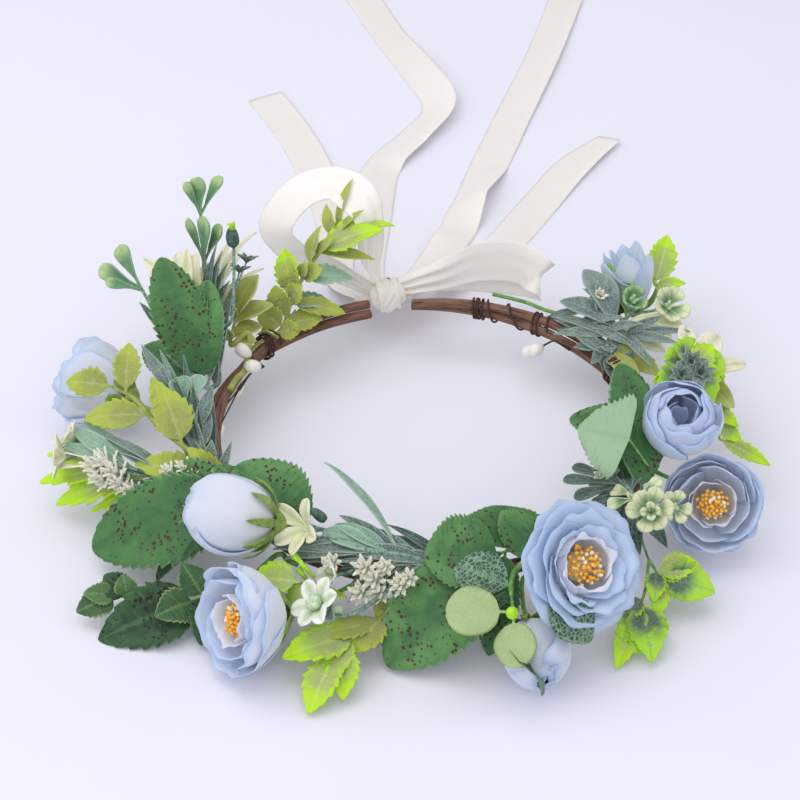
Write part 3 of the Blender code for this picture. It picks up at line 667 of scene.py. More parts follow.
STAMEN_CREAM = dipped_plastic("cream_waxed_stamen", "#fae6b4", "#fdf3da", 0.55, 1)
FOAM_IVORY = dipped_plastic("ivory_painted_foam", "#f1ecdc", "#f8f5ea", 0.38, 3)
DARK_BUD = dipped_plastic("slate_green_moulded_bud", "#3e5a52", "#5a7a6c", 0.7, 2)
LIME_STEM = dipped_plastic("lime_moulded_spike", "#9fd124", "#bdea35", 0.45, 2)

# %% Bark
VINE_BARK, bark_tree, bark_shader = new_finish("brown_vine_bark", 0.82, IOR=1.45, Specular_IOR_Level=0.3)
STRAND_LENGTH = 2 * math.pi * RING_RADIUS
bark_along = add_node(bark_tree, "Attribute", attribute_name="along").outputs["Fac"]
bark_around = add_node(bark_tree, "Attribute", attribute_name="across").outputs["Fac"]
bark_turn = add_node(bark_tree, "Math", {0: bark_around, 1: math.pi}, operation="MULTIPLY").outputs[0]
bark_x = add_node(bark_tree, "Math", {0: bark_turn}, operation="COSINE").outputs[0]
bark_y = add_node(bark_tree, "Math", {0: bark_turn}, operation="SINE").outputs[0]
# Fibres are about 0.7 mm wide and 12 mm long: the strand's length is squeezed sixteen times before the noise.
bark_z = add_node(bark_tree, "Math", {0: bark_along, 1: STRAND_LENGTH / 16 / STRAND_RADIUS},
    operation="MULTIPLY").outputs[0]
bark_place = add_node(bark_tree, "CombineXYZ", {0: bark_x, 1: bark_y, 2: bark_z}).outputs[0]
bark_fibre = add_node(bark_tree, "TexNoise", {"Vector": bark_place, "Scale": 3.0, "Detail": 5.0,
    "Roughness": 0.65}).outputs[0]
bark_patch = add_node(bark_tree, "TexNoise", {"Vector": bark_place, "Scale": 0.6, "Detail": 2.0}).outputs[0]
bark_dark = add_node(bark_tree, "MapRange", {"Value": bark_fibre, "From Min": 0.5,
    "From Max": 0.36}).outputs[0]
bark_red = add_node(bark_tree, "MapRange", {"Value": bark_patch, "From Min": 0.5, "From Max": 0.68,
    "To Max": 0.7}).outputs[0]
bark_pale = add_node(bark_tree, "MapRange", {"Value": bark_fibre, "From Min": 0.58, "From Max": 0.72,
    "To Max": 0.7}).outputs[0]
bark_coats = [(bark_red, colour("#966450")), (bark_pale, colour("#bda193")), (bark_dark, colour("#432d27"))]
bark_tree.links.new(paint_coats(bark_tree, colour("#876555"), bark_coats), bark_shader.inputs["Base Color"])
press_bump(bark_tree, bark_shader, bark_fibre, 0.5)

# %% [markdown]
# ## Satin
# Satin ribbon is woven so that its warp threads float on the face. Light runs along them, so it has a soft
# gloss across the ribbon and a faint lengthwise grain. Real threads are 0.1 mm apart; the grain here is 0.6
# mm, as fine as shows. The selvedges, the woven edges, are a touch denser.

# %% Weave the satin
SATIN, satin_tree, satin_shader = new_finish("cream_woven_satin", 0.34, Sheen_Weight=0.4, IOR=1.5,
    Subsurface_Weight=0.25, Subsurface_Scale=0.003, Subsurface_Radius=(1.0, 1.0, 1.0))
satin_across = add_node(satin_tree, "Attribute", attribute_name="across").outputs["Fac"]
satin_along = add_node(satin_tree, "Attribute", attribute_name="along").outputs["Fac"]
satin_place = add_node(satin_tree, "CombineXYZ", {0: satin_across, 1: satin_along}).outputs[0]
satin_thread = add_node(satin_tree, "Mapping", {"Vector": satin_place, "Scale": (16.0, 14.0, 1.0)}).outputs[0]
satin_grain = add_node(satin_tree, "TexNoise", {"Vector": satin_thread, "Scale": 1.0,
    "Detail": 3.0}).outputs[0]
satin_edge = add_node(satin_tree, "Math", {0: satin_across}, operation="ABSOLUTE").outputs[0]
satin_selvedge = add_node(satin_tree, "MapRange", {"Value": satin_edge, "From Min": 0.94,
    "To Max": 0.5}).outputs[0]
satin_mask = add_node(satin_tree, "MapRange", {"Value": satin_grain, "From Min": 0.35,
    "From Max": 0.65}).outputs[0]
satin_coats = [(satin_mask, colour("#fffaf0")), (satin_selvedge, colour("#fbf5e8"))]
satin_tree.links.new(paint_coats(satin_tree, colour("#fcf6e9"), satin_coats),
    satin_shader.inputs["Base Color"])
press_bump(satin_tree, satin_shader, satin_grain, 0.12)
print(len(bpy.data.materials), "finishes")

# %% [markdown]
# ## The vine
# Two strands turn slowly round each other. A round tube would look like a cable, so each strand's radius
# follows long ridges and knots, and its ends are cut square to show paler wood.

# %% Grow the strands
STRAND_REACH = math.pi * RING_RADIUS - 10
STRAND_TWIST = 320.0


def bark_relief(seed):
    """Long ridges that wander along a strand, in millimetres, as a function of length and angle."""
    chance = random.Random(seed)
    waves = [(chance.randint(3, 9), chance.uniform(0.01, 0.09), chance.uniform(0, 6.3)) for _ in range(6)]

    def relief(travelled, angle):
        ridge = sum(math.sin(count * angle + drift * travelled + phase) for count, drift, phase in waves) / 6
        swell = 0.12 * math.sin(travelled / 17 + seed) + 0.08 * math.sin(travelled / 5.3)
        return 0.42 * ridge + swell - 0.06

    return relief


for name, turn in (("vine_strand_first", 0.0), ("vine_strand_second", math.pi)):
    strand = Piece(name.replace("vine_strand", "bark_strand"))
    strand_route = []
    for index in range(301):
        along = STRAND_REACH * (2 * index / 300 - 1)
        angle = 2 * math.pi * along / STRAND_TWIST + turn
        strand_route.append(spot(along, STRAND_OFFSET * math.cos(angle), STRAND_OFFSET * math.sin(angle)))
    tube(strand, VINE_BARK, strand_route, STRAND_RADIUS, sides=22, relief=bark_relief(len(name)))
    for end, inside in ((0, 3), (-1, -4)):
        outward = (strand_route[end] - strand_route[inside]).normalized()
        face = strand_route[end] + outward * (0.02 * MM)
        turned(strand, CUT_WOOD, face, outward, [(1.9, 0), (1.7, 0.25), (0.9, 0.3)], sides=14)
    strand.place(name, "vine_bark")

# %% [markdown]
# ## The binding wires
# Each wire is wound round the vine and over the stems. Winding by hand is uneven, so the turns wander a
# little along the vine. The paper wrap shows as a fine spiral ridge.

# %% Wind the wires
WIRE_RADIUS = 0.5
STEPS_PER_TURN = 22
# Each stretch is (start, end, turns), and then come the lanes of the stems that lie under the wire, in
# degrees.
WINDINGS = {
    "binding_wire_back_right": ([(254, 248.5, 4), (248.5, 240, 1), (240, 224, 1), (224, 219, 2),
    (219, 214, 0.5)], []), "binding_wire_right": ([(174, 169, 3)], [90]),
    "binding_wire_front": ([(36, 31, 3)], [120, 60, -30]), "binding_wire_left": ([(-114, -119, 2)], [0, 60]),
    "binding_wire_back_left": ([(-223, -228, 3), (-228, -232, 0.5)], [90]),
}


def girth(along, angle, lanes):
    """How far a wire pulled round the strands and the stems beside them stands from the vine's centre."""
    turned_to = 2 * math.pi * along / STRAND_TWIST
    held = STRAND_OFFSET * abs(math.cos(angle - turned_to)) + STRAND_RADIUS
    for lane_angle in lanes:
        held = max(held, LANE_RADIUS * math.cos(angle - math.radians(lane_angle)) + STEM_RADIUS)
    return held + WIRE_RADIUS + 0.25


def paper_relief(travelled, angle):
    """The overlapping edge of the paper strip, once round in every 2 mm."""
    return 0.05 * math.sin(angle + math.pi * travelled)


for name, (stretches, lanes) in WINDINGS.items():
    wire = Piece(name.replace("binding_wire", "paper_wire_coil"))
    wire_route = []
    wound = 0.0
    for start, end, turns in stretches:
        steps = math.ceil(turns * STEPS_PER_TURN)
        for index in range(steps):
            share = index / steps
            angle = 2 * math.pi * (wound + turns * share)
            along = start + (end - start) * share + 0.35 * math.sin(angle * 0.37 + start)
            reach = girth(along, angle, lanes)
            wire_route.append(spot(along, reach * math.cos(angle), reach * math.sin(angle)))
        wound += turns
    tube(wire, WIRE_PAPER, wire_route, WIRE_RADIUS, sides=8, relief=paper_relief)
    wire.place(name, "paper_wire")

# %% [markdown]
# ## The flowers
# An open flower has rings of wide petals round a pale inner cup with a tuft of stamens, and on two of them
# the outer petals stay cupped like a globe. A rolled flower is wrapped like a rose, with a dark eye in the
# middle, or ruffled. A bud is an egg of wrapped petals in narrow pointed sepals, and one bud is opening
# into pointed tips like a tulip. Each sort is a list of rings of petals from the outside in.

# %% Rings of petals
OPEN_RINGS = [
    Ring(6, 1.04, 0.66, 48, 4, 0.72, 1.2, 0, BLUE_CLOTH),
    Ring(5, 0.95, 0.86, 60, 34, 0.68, 1.2, 0, BLUE_CLOTH),
    Ring(5, 0.8, 0.98, 66, 60, 0.6, 1.0, 0, BLUE_CLOTH),
    Ring(4, 0.62, 1.02, 74, 80, 0.5, 0.9, 0, BLUE_CLOTH),
    Ring(4, 0.45, 0.98, 80, 96, 0.42, 0.7, 0, WHITE_CLOTH),
]
GLOBE_RINGS = [
    Ring(5, 1.02, 0.8, 16, 74, 0.8, 1.4, 0, PALE_CLOTH),
    Ring(5, 0.95, 0.96, 22, 96, 0.8, 1.5, 0, PALE_CLOTH),
    Ring(4, 0.72, 0.98, 40, 102, 0.66, 1.2, 0, PALE_CLOTH),
    Ring(4, 0.48, 0.92, 68, 94, 0.46, 0.8, 0, WHITE_CLOTH),
]
ROLLED_RINGS = [
    Ring(3, 1.0, 0.8, 6, 116, 1.2, 1.5, 0, BLUE_CLOTH),
    Ring(3, 0.92, 0.93, 10, 134, 1.15, 1.6, 0, LILAC_CLOTH),
    Ring(3, 0.8, 0.98, 18, 144, 1.0, 1.6, 0, LILAC_CLOTH),
    Ring(2, 0.54, 0.84, 40, 124, 0.85, 1.6, 0, LILAC_CLOTH),
    Ring(2, 0.3, 0.66, 70, 96, 0.45, 0.8, 0, LILAC_CLOTH),
]
RUFFLED_RINGS = [
    Ring(6, 1.02, 0.84, 16, 88, 0.7, 1.4, 0, PALE_CLOTH),
    Ring(5, 0.92, 0.98, 24, 104, 0.7, 1.6, 0, PALE_CLOTH),
    Ring(4, 0.7, 1.0, 44, 104, 0.6, 1.4, 0, PALE_CLOTH),
    Ring(3, 0.44, 0.95, 62, 96, 0.5, 1.2, 0, PALE_CLOTH),
]
BUD_RINGS = [
    Ring(3, 0.95, 0.95, 8, 160, 1.3, 1.2, 0, PALE_CLOTH),
    Ring(3, 0.88, 1.0, 14, 164, 1.2, 1.0, 0, PALE_CLOTH),
    Ring(3, 0.55, 0.97, 40, 150, 0.9, 0.6, 0, BLUE_CLOTH),
]
TULIP_RINGS = [
    Ring(3, 1.0, 0.92, 18, 92, 1.05, 1.2, 1, BLUE_CLOTH),
    Ring(3, 0.82, 1.0, 28, 100, 0.95, 1.0, 1, PALE_CLOTH),
    Ring(2, 0.5, 0.96, 50, 100, 0.7, 0.8, 1, BLUE_CLOTH),
]
Bloom = namedtuple("Bloom", "name rings middle facing radius depth root bends lane_radius")
OVER_WIRE_LANE = BUNDLE_RADIUS + 0.3 + 2 * WIRE_RADIUS + 1.1 + STEM_RADIUS
BLOOMS = [
    Bloom("rolled_flower_back_left", RUFFLED_RINGS, (-184, 56, -3), (-0.25, 0.95, 0.1), 19.5, 30,
        (-152, -166, 0), [(-174, 14, -2)], LANE_RADIUS),
    Bloom("bud_left", BUD_RINGS, (-91, 18, 19), (-0.77, 0.64, 0.12), 16.5, 37, (-46, -58, 90), [],
        LANE_RADIUS),
    Bloom("open_flower_left_front", GLOBE_RINGS, (-67, 42, -1), (-0.45, 0.84, 0.29), 22, 28, (-30, -42, 0),
        [], LANE_RADIUS),
    Bloom("open_flower_front", OPEN_RINGS, (30, 26, 16), (0.1, 0.75, 0.65), 26, 24, (52, 42, 0), [],
        LANE_RADIUS),
    Bloom("bud_front", BUD_RINGS, (13, 40, -10), (-0.15, 0.95, -0.1), 14, 28, (30, 20, -30), [], LANE_RADIUS),
    Bloom("rolled_flower_right", ROLLED_RINGS, (103, 15, 30), (-0.4, 0.15, 0.9), 16.5, 24, (120, 112, 60), [],
        LANE_RADIUS),
    Bloom("open_flower_right", GLOBE_RINGS, (95, 33, -1), (-0.8, 0.26, 0.54), 20.5, 22, (112, 104, 0), [],
        LANE_RADIUS),
    Bloom("bud_back_right", TULIP_RINGS, (204, 41, 13), (0.35, 0.05, 0.93), 12.5, 30, (246, 216, 50), [],
        OVER_WIRE_LANE),
]


def stem_route(root, bends, radius=LANE_RADIUS):
    """A stem's points: bound along the vine between two places on one lane, then out through its bends."""
    start, end, degrees = root
    bound = [lane(start + (end - start) * share, degrees, radius) for share in (0, 0.5, 1)]
    return bound + [spot(*place) for place in bends]


# %% Sew and wire each flower
STAMEN_COUNT = 46


def stamen_tuft(piece, base, axis, radius, floor, height):
    """A bunch of waxed threads with heads, spreading from a dome."""
    chance = piece.chance
    u = axis.orthogonal().normalized()
    v = axis.cross(u)
    dome = [(radius * 0.75, floor), (radius * 0.8, floor + height * 0.25),
        (radius * 0.45, floor + height * 0.45)]
    turned(piece, STAMEN_THREAD, base, axis, dome, sides=14)
    for number in range(STAMEN_COUNT):
        spread = math.sqrt((number + 0.5) / STAMEN_COUNT)
        angle = number * 2.4
        outward = u * math.cos(angle) + v * math.sin(angle)
        foot = base + axis * (floor * MM) + outward * (0.5 * spread * radius * MM)
        rise = height * (1.12 - 0.4 * spread ** 2 + chance.uniform(-0.1, 0.1))
        top = base + axis * ((floor + rise) * MM) + outward * (spread * radius * MM)
        tube(piece, STAMEN_THREAD, [foot, (foot + top) / 2, top], 0.22, sides=5)
        head = (STAMEN_HEAD, STAMEN_HEAD, STAMEN_CREAM, STAMEN_HEAD, STAMEN_HEAD)[number % 5]
        lean = ((top - foot).normalized() + Vector([chance.uniform(-0.5,
            0.5) for _ in range(3)])).normalized()
        turned(piece, head, top - lean * (0.5 * MM), lean, egg(0.85, chance.uniform(2.0, 3.2)), sides=7,
            tint=chance.random())


def dress_bloom(bloom):
    """The petals, sepals, stalk and, in an open flower, the stamens of one flower."""
    axis = heading(bloom.middle[0], *bloom.facing)
    base = spot(*bloom.middle) - axis * (bloom.depth / 2 * MM)
    petals = Piece(bloom.name + "_cloth_petals")
    turn = petals.chance.uniform(0, 6.3)
    for ring in bloom.rings:
        turn += math.pi / ring.count * 1.1
        for number in range(ring.count):
            reach = ring.reach * bloom.radius * petals.chance.uniform(0.96, 1.03)
            height = ring.height * bloom.depth * petals.chance.uniform(0.96, 1.02)
            sized = ring._replace(width=ring.width * bloom.radius)
            angle = turn + 2 * math.pi * (number + petals.chance.uniform(-0.12, 0.12)) / ring.count
            petal(petals, ring.finish, base, axis, angle, sized, reach, height)
    petals.place(bloom.name + "_petals", "petal_cloth")

    sepals = Piece(bloom.name + "_green_sepals")
    rim = 0.3 * bloom.radius
    cup = [(1.3, -6), (1.8, -5), (0.72 * rim, -3.4), (0.98 * rim, -1.6), (rim, -0.6), (0.7 * rim, -0.35)]
    turned(sepals, CALYX_PLASTIC, base, axis, cup, sides=18, relief=lambda angle: 0.05 * math.cos(6 * angle))
    closed = bloom.rings in (BUD_RINGS, TULIP_RINGS)
    length = (0.3 if closed else 0.36) * bloom.depth
    count = 9 if closed else 6
    hug = Ring(count, 0, 0, 4 if closed else 8, 84 if closed else 50, 1.8 if closed else 3.4, 0.0, 0,
        CALYX_PLASTIC)
    for number in range(count):
        angle = 2 * math.pi * number / count
        reach = bloom.radius * (1.02 if closed else 0.72)
        petal(sepals, CALYX_PLASTIC, base - axis * (0.9 * MM), axis, angle, hug, reach, length, pointed=True,
            start=0.7 * rim, columns=7)
    sepals.place(bloom.name + "_calyx", "calyx_green")

    stalk = Piece(bloom.name + "_dipped_stalk")
    top = base - axis * (6.3 * MM)
    route = stem_route(bloom.root, bloom.bends, bloom.lane_radius) + [top - axis * (6 * MM),
        top + axis * (0.6 * MM)]
    tube(stalk, STEM_PLASTIC, smooth(route, 1.5), STEM_RADIUS, sides=12)
    stalk.place(bloom.name + "_stem", "stem_green")

    if bloom.rings in (OPEN_RINGS, GLOBE_RINGS):
        tuft = Piece(bloom.name + "_stamen_tuft")
        stamen_tuft(tuft, base, axis, 0.29 * bloom.radius, 0.45 * bloom.depth, 9.0)
        tuft.place(bloom.name + "_stamens", "stamen_tips")


for bloom in BLOOMS:
    dress_bloom(bloom)

# %% [markdown]
# ## Sorts of leaf
# Each sort joins a cut to a finish. The arch is how far the blade bows up along its length, and the curl
# how far its tip drops, both as shares of its length.

# %% Name the leaves
SPOTTED_CUT = Cut(0.46, 0.62, 0.05, 15, 0.1, 8, 0.12, 0.45)
TOOTHED_CUT = Cut(0.42, 0.8, 0.1, 6, 0.2, 5, 0.2, 0.5)
LOBED_CUT = Cut(0.45, 0.7, 0.1, 5, 0.34, 5, 0.18, 0.5)
LONG_CUT = Cut(0.42, 0.95, 0.05, 0, 0, 1, 0.3, 0.5)
LENS_CUT = Cut(0.5, 0.75, 0.08, 0, 0, 1, 0.28, 0.6)
SPOON_CUT = Cut(0.8, 0.5, 0.03, 0, 0, 1, 0.25, 0.8)
FRILL_CUT = Cut(0.55, 0.8, 0.1, 3, 0.5, 1, 0.1, 0.8)
IVY_CUT = Cut(0.38, 0.7, 0.12, 8, 0.14, 5, 0.12, 0.5)
DISC_CUT = Cut(0.5, 0.46, 0.2, 0, 0, 9, 0.06, 0.6)
NET_CUT = Cut(0.5, 0.66, 0.06, 14, 0.05, 7, 0.1, 0.5)
PETAL_CUT = Cut(0.66, 0.5, 0.02, 0, 0, 1, 0.2, 0.6)

SPOTTED = Leaf(SPOTTED_CLOTH, SPOTTED_CUT, 0.05, 0.1)
PALE_BACK = Leaf(PALE_BACK_CLOTH, Cut(0.2, 0.75, 0.01, 12, 0.12, 8, 0.08, 0.45), 0.04, 0.02)
FUZZY = Leaf(FUZZY_PLASTIC, TOOTHED_CUT, 0.06, 0.1)
FUZZY_LONG = Leaf(FUZZY_PLASTIC, LONG_CUT, 0.05, 0.08)
LIME = Leaf(LIME_PLASTIC, TOOTHED_CUT, 0.05, 0.08)
LIME_LOBED = Leaf(LIME_PLASTIC, LOBED_CUT, 0.05, 0.1)
LIME_DARK = Leaf(LIME_DARK_PLASTIC, TOOTHED_CUT, 0.06, 0.08)
OLIVE = Leaf(OLIVE_PLASTIC, LENS_CUT, 0.08, 0.12)
DUSTY_LONG = Leaf(DUSTY_PLASTIC, LONG_CUT, 0.06, 0.06)
DUSTY_WIDE = Leaf(DUSTY_PLASTIC, LENS_CUT, 0.08, 0.1)
SLATE_LONG = Leaf(SLATE_PLASTIC, LONG_CUT, 0.05, 0.04)
SPOON = Leaf(SPOON_PLASTIC, SPOON_CUT, 0.04, -0.1)
DARK_SPOON = Leaf(SLATE_PLASTIC, SPOON_CUT, 0.04, 0.05)
PALE_SPOON = Leaf(PALE_SPOON_PLASTIC, SPOON_CUT, 0.04, 0.05)
FROSTED_SPOON = Leaf(FROSTED_PLASTIC, SPOON_CUT, 0.03, 0.05)
FROSTED_LENS = Leaf(FROSTED_PLASTIC, LENS_CUT, 0.05, 0.05)
FRILL = Leaf(FRILL_PLASTIC, FRILL_CUT, 0.05, -0.1)
CREAM = Leaf(CREAM_PLASTIC, PETAL_CUT, 0.04, 0.12)
WHITE = Leaf(WHITE_PLASTIC, PETAL_CUT, 0.06, 0.1)
CREAM_LONG = Leaf(CREAM_PLASTIC, LENS_CUT, 0.05, 0.1)
IVY = Leaf(IVY_CLOTH, IVY_CUT, 0.06, 0.1)
VARIEGATED = Leaf(VARIEGATED_CLOTH, IVY_CUT, 0.06, 0.1)
DISC = Leaf(DISC_PLASTIC, DISC_CUT, 0.03, 0.02)
NETTED = Leaf(NETTED_CLOTH, NET_CUT, 0.06, 0.1)

# %% [markdown]
# ## Building a spray
# A spray starts as one stem, bound to the vine and then bent out. Leaves, twigs, whorls of small leaves,
# cream trumpets and buds are added where they grow. Their places are written as on the crown, so a leaf is
# moved by changing the three numbers of its tip.

# %% Spray helpers
UP = (0, 0, 1)


def grow_stem(name, finish, root, bends, radius=STEM_RADIUS):
    """Start a spray. Gives the piece and its stem's route."""
    piece = Piece(name + "_spray")
    route = smooth(stem_route(root, bends), 1.5)
    ends = np.clip((len(route) - 1 - np.arange(len(route))) / 10, 0.55, 1)
    tube(piece, finish, route, radius * ends)
    return piece, route


def grow_leaves(piece, kind, route, leaves, facing=UP, twist=0.0):
    """Leaves along a route. Each is (share of the route at its base, its tip's place, its width in mm)."""
    for share, tip, width in leaves:
        base = route[round(share * (len(route) - 1))]
        leaf(piece, kind, base, spot(*tip), width, heading(tip[0], *facing), twist)


def grow_twig(piece, finish, start, places, radius=0.55):
    """A thin twig from a point through places. Gives its route."""
    route = smooth([start, *(spot(*place) for place in places)], 1.5)
    tube(piece, finish, route, np.linspace(radius, radius * 0.75, len(route)), sides=7)
    return route


def grow_whorl(piece, kind, centre, axis, count, length, width, opening, spin=0.0):
    """Small leaves round an axis, each opening from it by so many degrees."""
    u = axis.orthogonal().normalized()
    v = axis.cross(u)
    for number in range(count):
        angle = 2 * math.pi * (number + piece.chance.uniform(-0.12, 0.12)) / count + spin
        opened = math.radians(opening + piece.chance.uniform(-6, 6))
        outward = u * math.cos(angle) + v * math.sin(angle)
        grown = length * piece.chance.uniform(0.92, 1.08) * MM
        leaf(piece, kind, centre, centre + (axis * math.cos(opened) + outward * math.sin(opened)) * grown,
            width, axis)


def grow_tuft(piece, centre, axis, size):
    """A tuft of narrow flocked fingers with cream tips, like coral."""
    grow_whorl(piece, FRILL, centre - axis * (0.35 * size * MM), axis, 6, size * 0.85, 2.2, 74)
    grow_whorl(piece, FRILL, centre - axis * (0.1 * size * MM), axis, 5, size, 2.4, 48, 0.4)
    grow_whorl(piece, FRILL, centre, axis, 3, size, 2.2, 18)


def grow_trumpet(piece, kind, centre, axis, length, width):
    """A small trumpet flower: a green funnel that opens into five cream petals round white pips."""
    funnel = [(0.6, -0.55 * length), (0.9, -0.4 * length), (1.5, -0.15 * length), (2.2, 0.05 * length),
        (1.2, 0.1 * length)]
    turned(piece, DUSTY_STEM, centre, axis, funnel, sides=12)
    grow_whorl(piece, kind, centre, axis, 5, length, width, 50)
    grow_pips(piece, CREAM_PLASTIC, centre, axis, 4, 0.9, 3.2, 1.6)


def grow_pips(piece, finish, centre, axis, count, radius, length, spread):
    """Small eggs on a flower's middle."""
    u = axis.orthogonal().normalized()
    v = axis.cross(u)
    for number in range(count):
        angle = 2 * math.pi * number / count + 0.6
        lean = (axis + (u * math.cos(angle) + v * math.sin(angle)) * (spread / length)).normalized()
        turned(piece, finish, centre, lean, egg(radius, length), sides=9, tint=piece.chance.random())


def grow_bud(piece, finish, foot, axis, radius, length):
    """A closed bud on the end of a twig."""
    turned(piece, finish, foot, axis, egg(radius, length, 1.25), sides=12, tint=piece.chance.random())


# %% [markdown]
# ## Back left
# From the bow round to the left there are lime and grey pointed leaves, a few olive leaves and a berry
# stem, then the tall boxwood sprig with spoon-shaped leaves in threes, with two upright spotted leaves in
# front of it.

# %% Pointed leaves by the bow
spray, route = grow_stem("flocked_leaves_back_left", OLIVE_STEM, (-214, -236, 90),
    [(-247, 4, 18), (-262, 12, 27), (-275, 20, 31)])
grow_leaves(spray, FUZZY_LONG, route, [
    (1.0, (-283, 39, 48), 6), (0.95, (-273, 33, 40), 7), (0.7, (-268, 24, 36), 8), (0.95, (-284, 21, 42), 5),
    (0.8, (-285, 1, 28), 6), (0.75, (-270, 12, 36), 7), (0.6, (-255, 7, 30), 8), (0.5, (-251, 9, 26), 7),
], (0.7, 0, 0.6))
grow_leaves(spray, LIME, route, [(0.8, (-290, 11, 38), 24), (1.0, (288, 19, 34), 10),
    (0.5, (-251, 20, 32), 15)], (0.7, 0, 0.6))
grow_leaves(spray, Leaf(FROSTED_PLASTIC, TOOTHED_CUT, 0.05, 0.08), route,
    [(0.6, (-275, 1, 20), 14), (0.45, (-262, -2, 12), 12)], (0.7, 0, 0.6))
grow_leaves(spray, FUZZY, route, [
    (0.35, (-240, 10, 22), 16), (0.3, (-231, 10, 14), 14), (0.45, (-248, 1, 24), 14),
    (0.3, (-253, -9, 10), 13), (0.45, (-266, -11, 10), 10), (0.2, (-226, 0, 10), 12),
    (0.5, (-248, 12, 28), 12), (0.6, (-260, 2, 28), 12), (0.25, (-241, -8, 8), 11),
], (0.7, 0, 0.6))
spray.place("flocked_leaves_back_left", "yellow_green_flock")

# %% Olive leaves
spray, route = grow_stem("olive_leaves_back_left", OLIVE_STEM, (-186, -204, 130),
    [(-214, 0, 16), (-207, 5, 12), (-218, 10, 18)], 1.3)
grow_leaves(spray, OLIVE, route, [
    (0.97, (-233, 13, 32), 12), (0.95, (-235, 4, 20), 10), (1.0, (-215, 12, 28), 6), (0.85, (-226, 2, 14), 9),
    (0.7, (-217, -2, 12), 7), (0.8, (-209, 8, 18), 6),
], (0.6, 0, 0.7))
spray.place("olive_leaves_back_left", "yellow_green_flock")

# %% Boxwood sprig with spoon leaves
spray, route = grow_stem("boxwood_sprig_back_left", DUSTY_STEM, (-176, -196, 30),
    [(-208, 18, 20), (-218, 26, 16), (-225, 35, 38), (-229, 41, 53)], 1.1)
grow_leaves(spray, SPOON, route, [(1.0, (-230, 50, 66), 5), (0.98, (-233, 46, 68), 9),
    (1.0, (-240, 43, 64), 6.5)], (0.7, 0, 0.5))
grow_leaves(spray, SPOON, route, [(0.8, (-224, 40, 56), 5), (0.78, (-225, 30, 60), 8),
    (0.8, (-229, 26, 54), 6)], (0.7, 0, 0.5))
left_twig = grow_twig(spray, DUSTY_STEM, route[round(len(route) * 0.45)],
    [(-198, 33, 18), (-205, 44, 22), (-208, 52, 27)], 1.0)
grow_leaves(spray, SPOON, left_twig, [(1.0, (-215, 70, 36), 8), (1.0, (-209, 74, 29), 8),
    (0.97, (-207, 69, 26), 5)], (0.7, 0, 0.5))
grow_bud(spray, DARK_BUD, spot(-203, 38, 19), heading(-207, -0.3, 0.5, 0.8), 2.6, 11)
grow_leaves(spray, SLATE_LONG, left_twig, [(0.5, (-206, 51, 22), 3), (0.5, (-209, 41, 28), 3)])
bud_twig = grow_twig(spray, DUSTY_STEM, route[round(len(route) * 0.4)],
    [(-208, 5, 24), (-219, 11, 36), (-230, 22, 47)], 0.9)
grow_bud(spray, DARK_BUD, bud_twig[-3], heading(-236, 0, 0.1, 1), 3, 10)
grow_whorl(spray, LIME, bud_twig[-3] + Vector((0, 0, 8 * MM)), heading(-236, 0, 0.1, 1), 5, 4.5, 3, 14)
for tip, width in (((-222, 24, 50), 3.5), ((-222, 21, 47), 4), ((-222, 18, 42), 4), ((-221, 22, 38), 5),
        ((-219, 14, 36), 5), ((-217, 15, 32), 5), ((-215, 18, 36), 5), ((-218, 25, 42), 4),
        ((-218, 8, 28), 5), ((-211, 12, 26), 6)):
    grow_leaves(spray, SLATE_LONG, route, [(0.42, tip, width)], (0.7, 0, 0.5))
grow_leaves(spray, DUSTY_LONG, route, [(0.2, (-221, 14, 34), 6), (0.3, (-204, 7, 22), 6),
    (0.15, (-198, 7, 18), 5)], (0.7, 0, 0.5))
for place in ((-232, 17, 36), (-228, 17, 33)):
    fern_twig = grow_twig(spray, DUSTY_STEM, bud_twig[round(len(bud_twig) * 0.5)], [place], 0.5)
    grow_whorl(spray, SLATE_LONG, fern_twig[-1], heading(-237, -0.4, 0.2, 0.8), 7, 6, 2, 50)
for tip, width in (((-223, 73, 20), 8), ((-230, 69, 22), 13), ((-232, 60, 24), 13), ((-230, 47, 26), 9),
        ((-216, 60, 16), 8), ((-225, 65, 20), 8)):
    grow_leaves(spray, CREAM, route, [(0.36, tip, width)], (0.7, 0, 0.6))
grow_leaves(spray, CREAM_LONG, route, [(0.42, (-249, 44, 34), 8), (0.4, (-244, 26, 26), 7),
    (0.45, (-236, 28, 36), 6), (0.4, (-237, 37, 40), 6)], (0.7, 0, 0.6))
grow_leaves(spray, CREAM_LONG, [spot(-212, 30, 24)], [
    (0, (-216, 60, 34), 7), (0, (-213, 51, 26), 6), (0, (-222, 42, 40), 7), (0, (-220, 52, 34), 6),
], (0.4, 0, 0.8))
spray.place("boxwood_sprig_back_left", "grey_green_flock")

# %% Upright spotted leaves and the berries inside the ring
spray, route = grow_stem("spotted_leaves_back_left", STEM_PLASTIC, (-170, -182, 60), [(-187, 9, 8)])
grow_leaves(spray, SPOTTED, route, [(1.0, (-205, 37, 51), 27), (0.85, (-195, 42, 12), 20)], (0.5, -0.3, 0.6),
    -8)
grow_leaves(spray, SPOTTED, route, [(0.9, (-209, 18, 42), 22)], (0.6, -0.1, 0.5), 6)
grow_leaves(spray, DUSTY_LONG, route, [(0.8, (-215, 14, 28), 6), (0.6, (-197, 44, 10), 6),
    (0.7, (-197, 34, 10), 4)], (0.6, -0.4, 0.4))
spray.place("spotted_leaves_back_left", "spotted_leaf_cloth")


